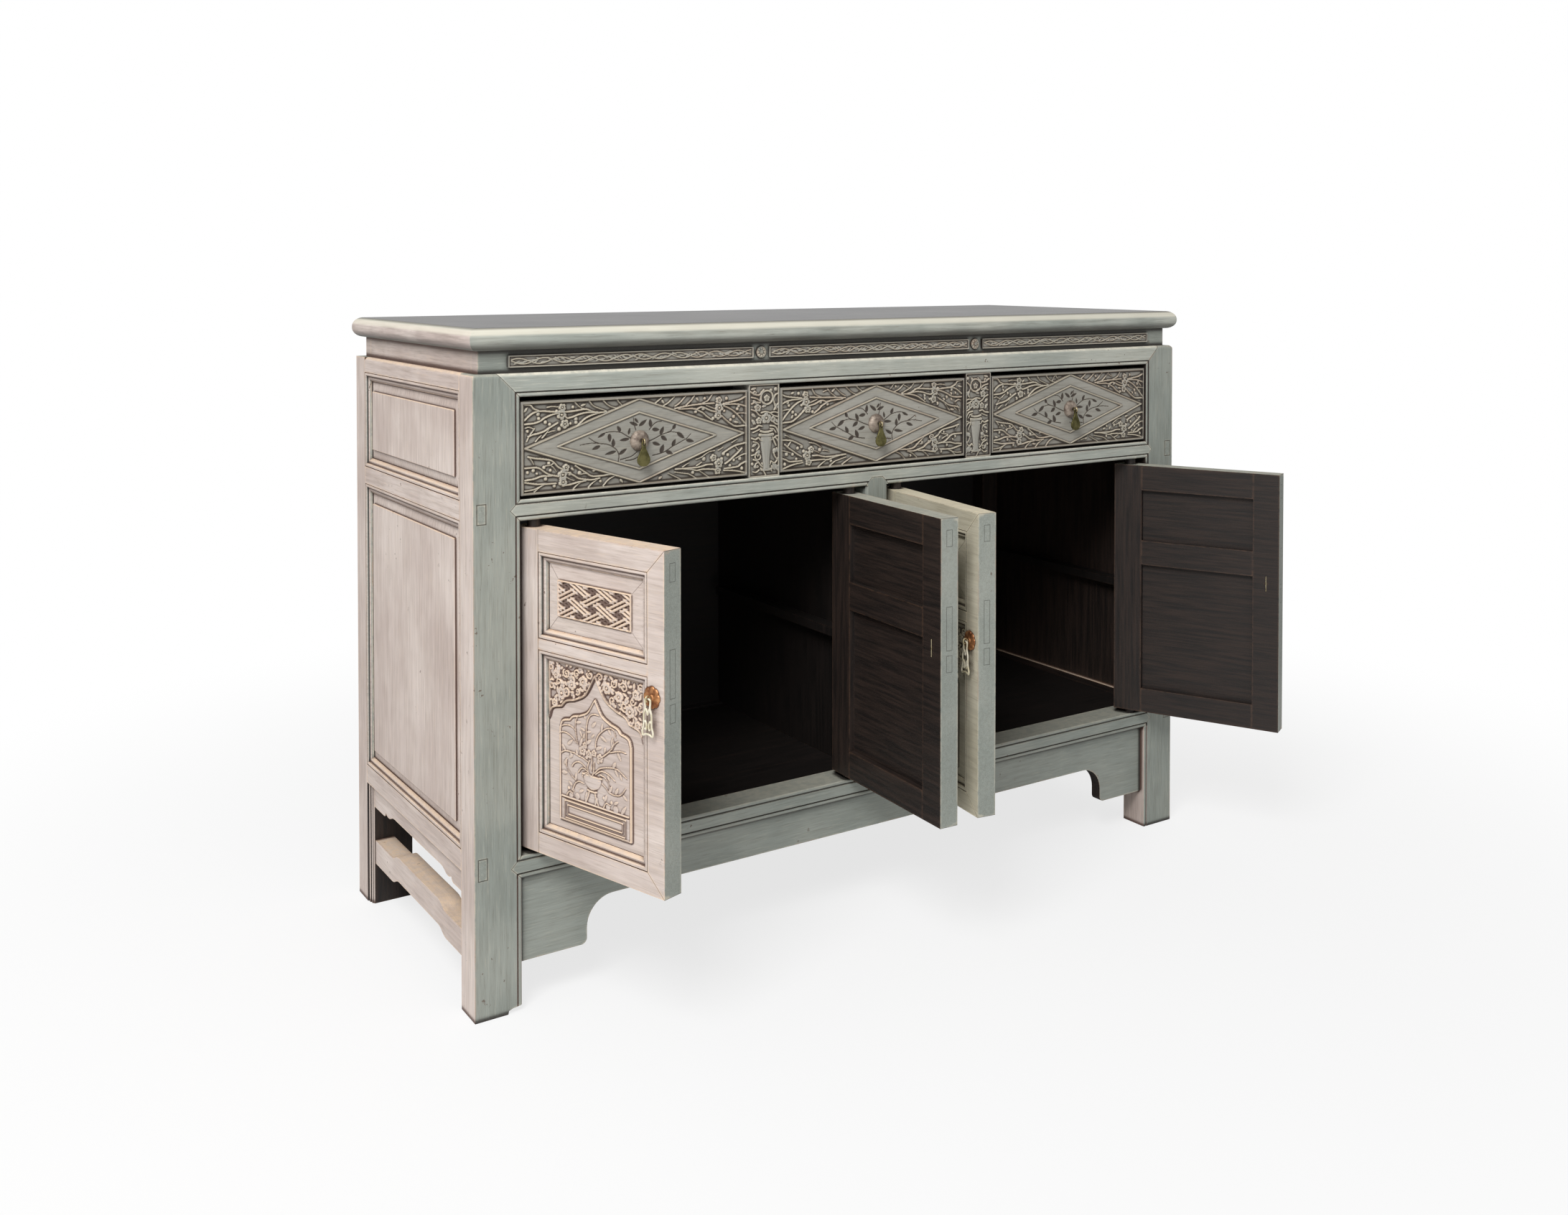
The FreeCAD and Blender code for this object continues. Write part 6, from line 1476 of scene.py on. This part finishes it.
def round_line(points, closed=False, parts=6):
    """A smooth line, closed on itself or not."""
    if not closed:
        return smooth(points, parts)
    extended = [points[-1], *points, points[0], points[1]]
    line = smooth(extended, parts)
    return line[parts:parts * (len(points) + 1)]


# %% Flowers on the waist
FLOWER = [(0, 0), (8.4, 0), (8.5, 0.8), (7.9, 1.8), (6.4, 2.6), (4.6, 2.9), (3.3, 2.5), (2.9, 3.2),
          (1.8, 3.7), (0, 3.8)]
for index, across in enumerate(FLOWER_PLACES):
    spot = Vector((CENTRE + across * MM, WAIST_FACE + 2 * MM, STRIP_UP * MM))
    flower = petalled(f"waist_flower_{index + 1}", FLOWER, stand(spot, *FACING_FRONT),
                      petals=8, draw_in=0.12, dip=0.3)
    fit(flower, finishes["stile_paint"], "root", "front_paint")

# %% [markdown]
# ## Pulls on the doors
# A petalled copper rosette sits on the lock stile. A strip of brass, folded round into a
# ring, goes through it and the wood and is bent flat on the inside. A pale cast pull hangs
# in the ring: a lyre-shaped loop with a small arch near its top and a curl in each foot.

# %% Rosette, split pin and pull
PULL_REACH, PULL_UP, RING_RADIUS, RING_WIRE, RING_STAND = 226.5, 440.0, 3.3, 1.05, 4.5
ROSETTE_UP, BOSS_UP, TAIL_LONG = 3.0, 8.0, 13.0
ROSETTE = [(0, 0), (13.2, 0), (13.5, 0.5), (13.1, 1.2), (11.6, 2.2), (9.4, 2.75), (7.0, 2.6),
           (5.0, 1.9), (3.9, 1.7), (3.5, 2.3), (2.9, 2.9), (0, 2.95)]
BOSS = [(0, 0), (13.9, 0), (14.0, 0.9), (13.5, 2.3), (12.4, 4.0), (10.7, 5.5), (8.4, 6.8),
        (6.0, 7.6), (4.0, 7.95), (3.2, 7.7), (2.8, 6.6), (0, 6.2)]
PULL = {"half": 8.75, "long": 43.0, "wire": 1.2}
PULL_SIDE = ((0.42, 0), (0.5, 0.1), (0.44, 0.24), (0.7, 0.42), (0.74, 0.72), (1, 0.9),
             (0.86, 1), (0.34, 0.96))
PULL_ARCH = ((-0.58, 0.36), (-0.34, 0.27), (-0.12, 0.33), (0, 0.42), (0.12, 0.33), (0.34, 0.27),
             (0.58, 0.36))
PULL_CURL = ((0.74, 0.66), (0.46, 0.6), (0.22, 0.7), (0.3, 0.83), (0.52, 0.8))
DROP = {"half": 9.5, "long": 29.6, "eye": 3.4, "hole": 1.9, "thick": 2.4}
DROP_SIDE = ((0.3, 0.06), (0.36, 0.2), (0.7, 0.44), (0.95, 0.62), (1, 0.74), (0.86, 0.87),
             (0.52, 0.97), (0.2, 1))


def circle(radius, count, level=0.0):
    return [(radius * math.sin(t), level + radius * math.cos(t))
            for t in np.linspace(0, 2 * math.pi, count, endpoint=False)]


def split_pin(name, where, plate_up, wood):
    """The ring in front, the shank through the wood and two tails bent flat inside."""
    middle = plate_up + RING_STAND
    ring = [(0, y, middle + z) for y, z in circle(RING_RADIUS, 24)]
    back = -wood - 0.6
    shank = [(0, 0, middle - RING_RADIUS), (0, 0, back + 1.0)]
    tails = [(0, -TAIL_LONG + 1, back), (0, -2, back), (0, 0, back + 0.4), (0, 2, back),
             (0, TAIL_LONG - 1, back)]
    piece = bent(name, [(ring, True), (shank, False)], where, RING_WIRE)
    flat = bent(name + "_tails", [(tails, False)], where, 0.6)
    return piece, flat


def pull_lines():
    def spot(side, across, down):
        return side * across * PULL["half"], -down * PULL["long"]
    loop = [spot(1, *share) for share in PULL_SIDE]
    loop += [spot(-1, *share) for share in PULL_SIDE[::-1]]
    inner = [[spot(1, *share) for share in PULL_ARCH]]
    inner += [[spot(side, *share) for share in PULL_CURL] for side in (-1, 1)]
    return [(round_line(loop, True), True)] + [(round_line(line), False) for line in inner]


for name, place in doors.items():
    where = stand(place.spot(PULL_REACH * MM, DOOR_FACE, PULL_UP * MM), place.across, (0, 0, 1))
    rosette = petalled(f"{name}_rosette", ROSETTE, where, petals=8, draw_in=0.10, dip=0.28)
    fit(rosette, finishes["copper"], name, "copper", f"{name}_pull_plate")
    for piece in split_pin(f"{name}_split_pin", where, ROSETTE_UP, 2 * DOOR_FACE / MM):
        fit(piece, finishes["brass"], name, "brass", f"{name}_pull_plate")
    drop = RING_RADIUS - RING_WIRE - PULL["wire"] - 0.3
    hang = where @ Matrix.Translation((0, -drop, ROSETTE_UP + RING_STAND))
    pull = bent(f"{name}_openwork_pull", pull_lines(), hang, PULL["wire"])
    fit(pull, finishes["pale_brass"], f"{name}_pull_ring", "brass", f"{name}_pull")
print("pulls hang", PULL["long"], "mm long")

# %% [markdown]
# ## Bosses and drops on the drawers
# Each drawer has a domed boss with faint ribs and a dark hollow, and a flat drop shaped
# like a pear hangs in its ring. The drop is cut from sheet, with a filed edge.

# %% Boss, split pin and drop
DRAWER_FIELD, DRAWER_MIDDLE, DRAWER_WOOD = FRONT + 3.6 * MM, 715.5, 20.4
for name in DRAWERS:
    middle, _ = front_of(f"{name}_front")
    where = stand((middle.x, DRAWER_FIELD, DRAWER_MIDDLE * MM), *FACING_FRONT)
    boss = petalled(f"{name}_boss", BOSS, where, petals=12, draw_in=0.03, dip=0.035)
    fit(boss, finishes["boss_metal"], name, "brass", f"{name}_knob")
    for piece in split_pin(f"{name}_split_pin", where, BOSS_UP, DRAWER_WOOD):
        fit(piece, finishes["brass"], name, "brass", f"{name}_knob")
    side = [(share[0] * DROP["half"], -share[1] * DROP["long"]) for share in DROP_SIDE]
    outer = [(0, DROP["eye"]), (2.4, DROP["eye"] * 0.72), (3.2, 0.2)] + side
    outer += [(-x, y) for x, y in outer[:0:-1]]
    lines = [(round_line(outer, True), True), (circle(DROP["hole"], 20), True)]
    plate = bent(f"{name}_drop_plate", lines,
                 where @ Matrix.Translation((0, -RING_RADIUS, BOSS_UP + RING_STAND)),
                 sheet=DROP["thick"], edge=0.6)
    fit(plate, finishes["drop_brass"], f"{name}_swing", "brass", f"{name}_drop")
print("three drops hung")


# %% [markdown]
# ## Floor, backdrop and light
# A pale sweep stands under and behind the piece. To the camera it is plain white, apart
# from the soft shadow on the floor. The light is a neutral sky with one large soft lamp
# from the upper left, which is where the photograph's shadows say it was.

# %% Studio
LIGHT_PLACE, LIGHT_AIM = Vector((-2.4, -1.9, 3.2)), Vector((-0.1, -0.1, 0.5))
LIGHT_SIZE, LIGHT_POWER, SKY = 1.6, 125, 0.42
FLOOR_SIZE, FLOOR_GREY, WHITE = 9.0, (0.86, 0.86, 0.86, 1), (1, 1, 1, 1)


def pale_floor():
    """White to the camera, and pale where a shadow falls near the piece."""
    ground = Finish("pale_floor")
    shader = ground.add("BsdfDiffuse", {"Color": FLOOR_GREY})
    glow = ground.add("Emission", {"Color": WHITE, "Strength": 1.0})
    seen = ground.add("LightPath", {}, "Is Camera Ray")
    away = ground.add("VectorMath", {0: ground.add("TexCoord", {}, "Object")}, "Value",
                      operation="LENGTH")
    share = 0.76 + 0.24 * ground.between(away, 0.7, 1.9)
    mixed = ground.add("MixShader", {0: seen * share, 1: shader, 2: glow})
    ground.add("OutputMaterial", {"Surface": mixed})
    return ground.block


def studio_sky():
    """White behind the piece, and a dimmer white as its light."""
    sky = Finish("studio_sky", "worlds")
    around = sky.add("Background", {"Color": WHITE, "Strength": SKY})
    behind = sky.add("Background", {"Color": WHITE})
    seen = sky.add("LightPath", {}, "Is Camera Ray")
    sky.add("OutputWorld", {"Surface": sky.add("MixShader", {0: seen, 1: around, 2: behind})})
    return sky.block


plane = bmesh.new()
bmesh.ops.create_grid(plane, x_segments=1, y_segments=1, size=FLOOR_SIZE)
floor = into_scene("studio_floor", to_mesh("studio_floor", plane))
wear(floor, pale_floor())

lamp = bpy.data.objects.new("soft_lamp", bpy.data.lights.new("soft_lamp", "AREA"))
lamp.data.size, lamp.data.energy = LIGHT_SIZE, LIGHT_POWER
lamp.location = LIGHT_PLACE
lamp.rotation_euler = (LIGHT_AIM - LIGHT_PLACE).to_track_quat("-Z", "Y").to_euler()
bpy.context.scene.collection.objects.link(lamp)
bpy.context.scene.world = studio_sky()
bpy.context.scene.view_settings.view_transform = "Standard"
print("lamp", LIGHT_POWER, "W, sky", SKY)
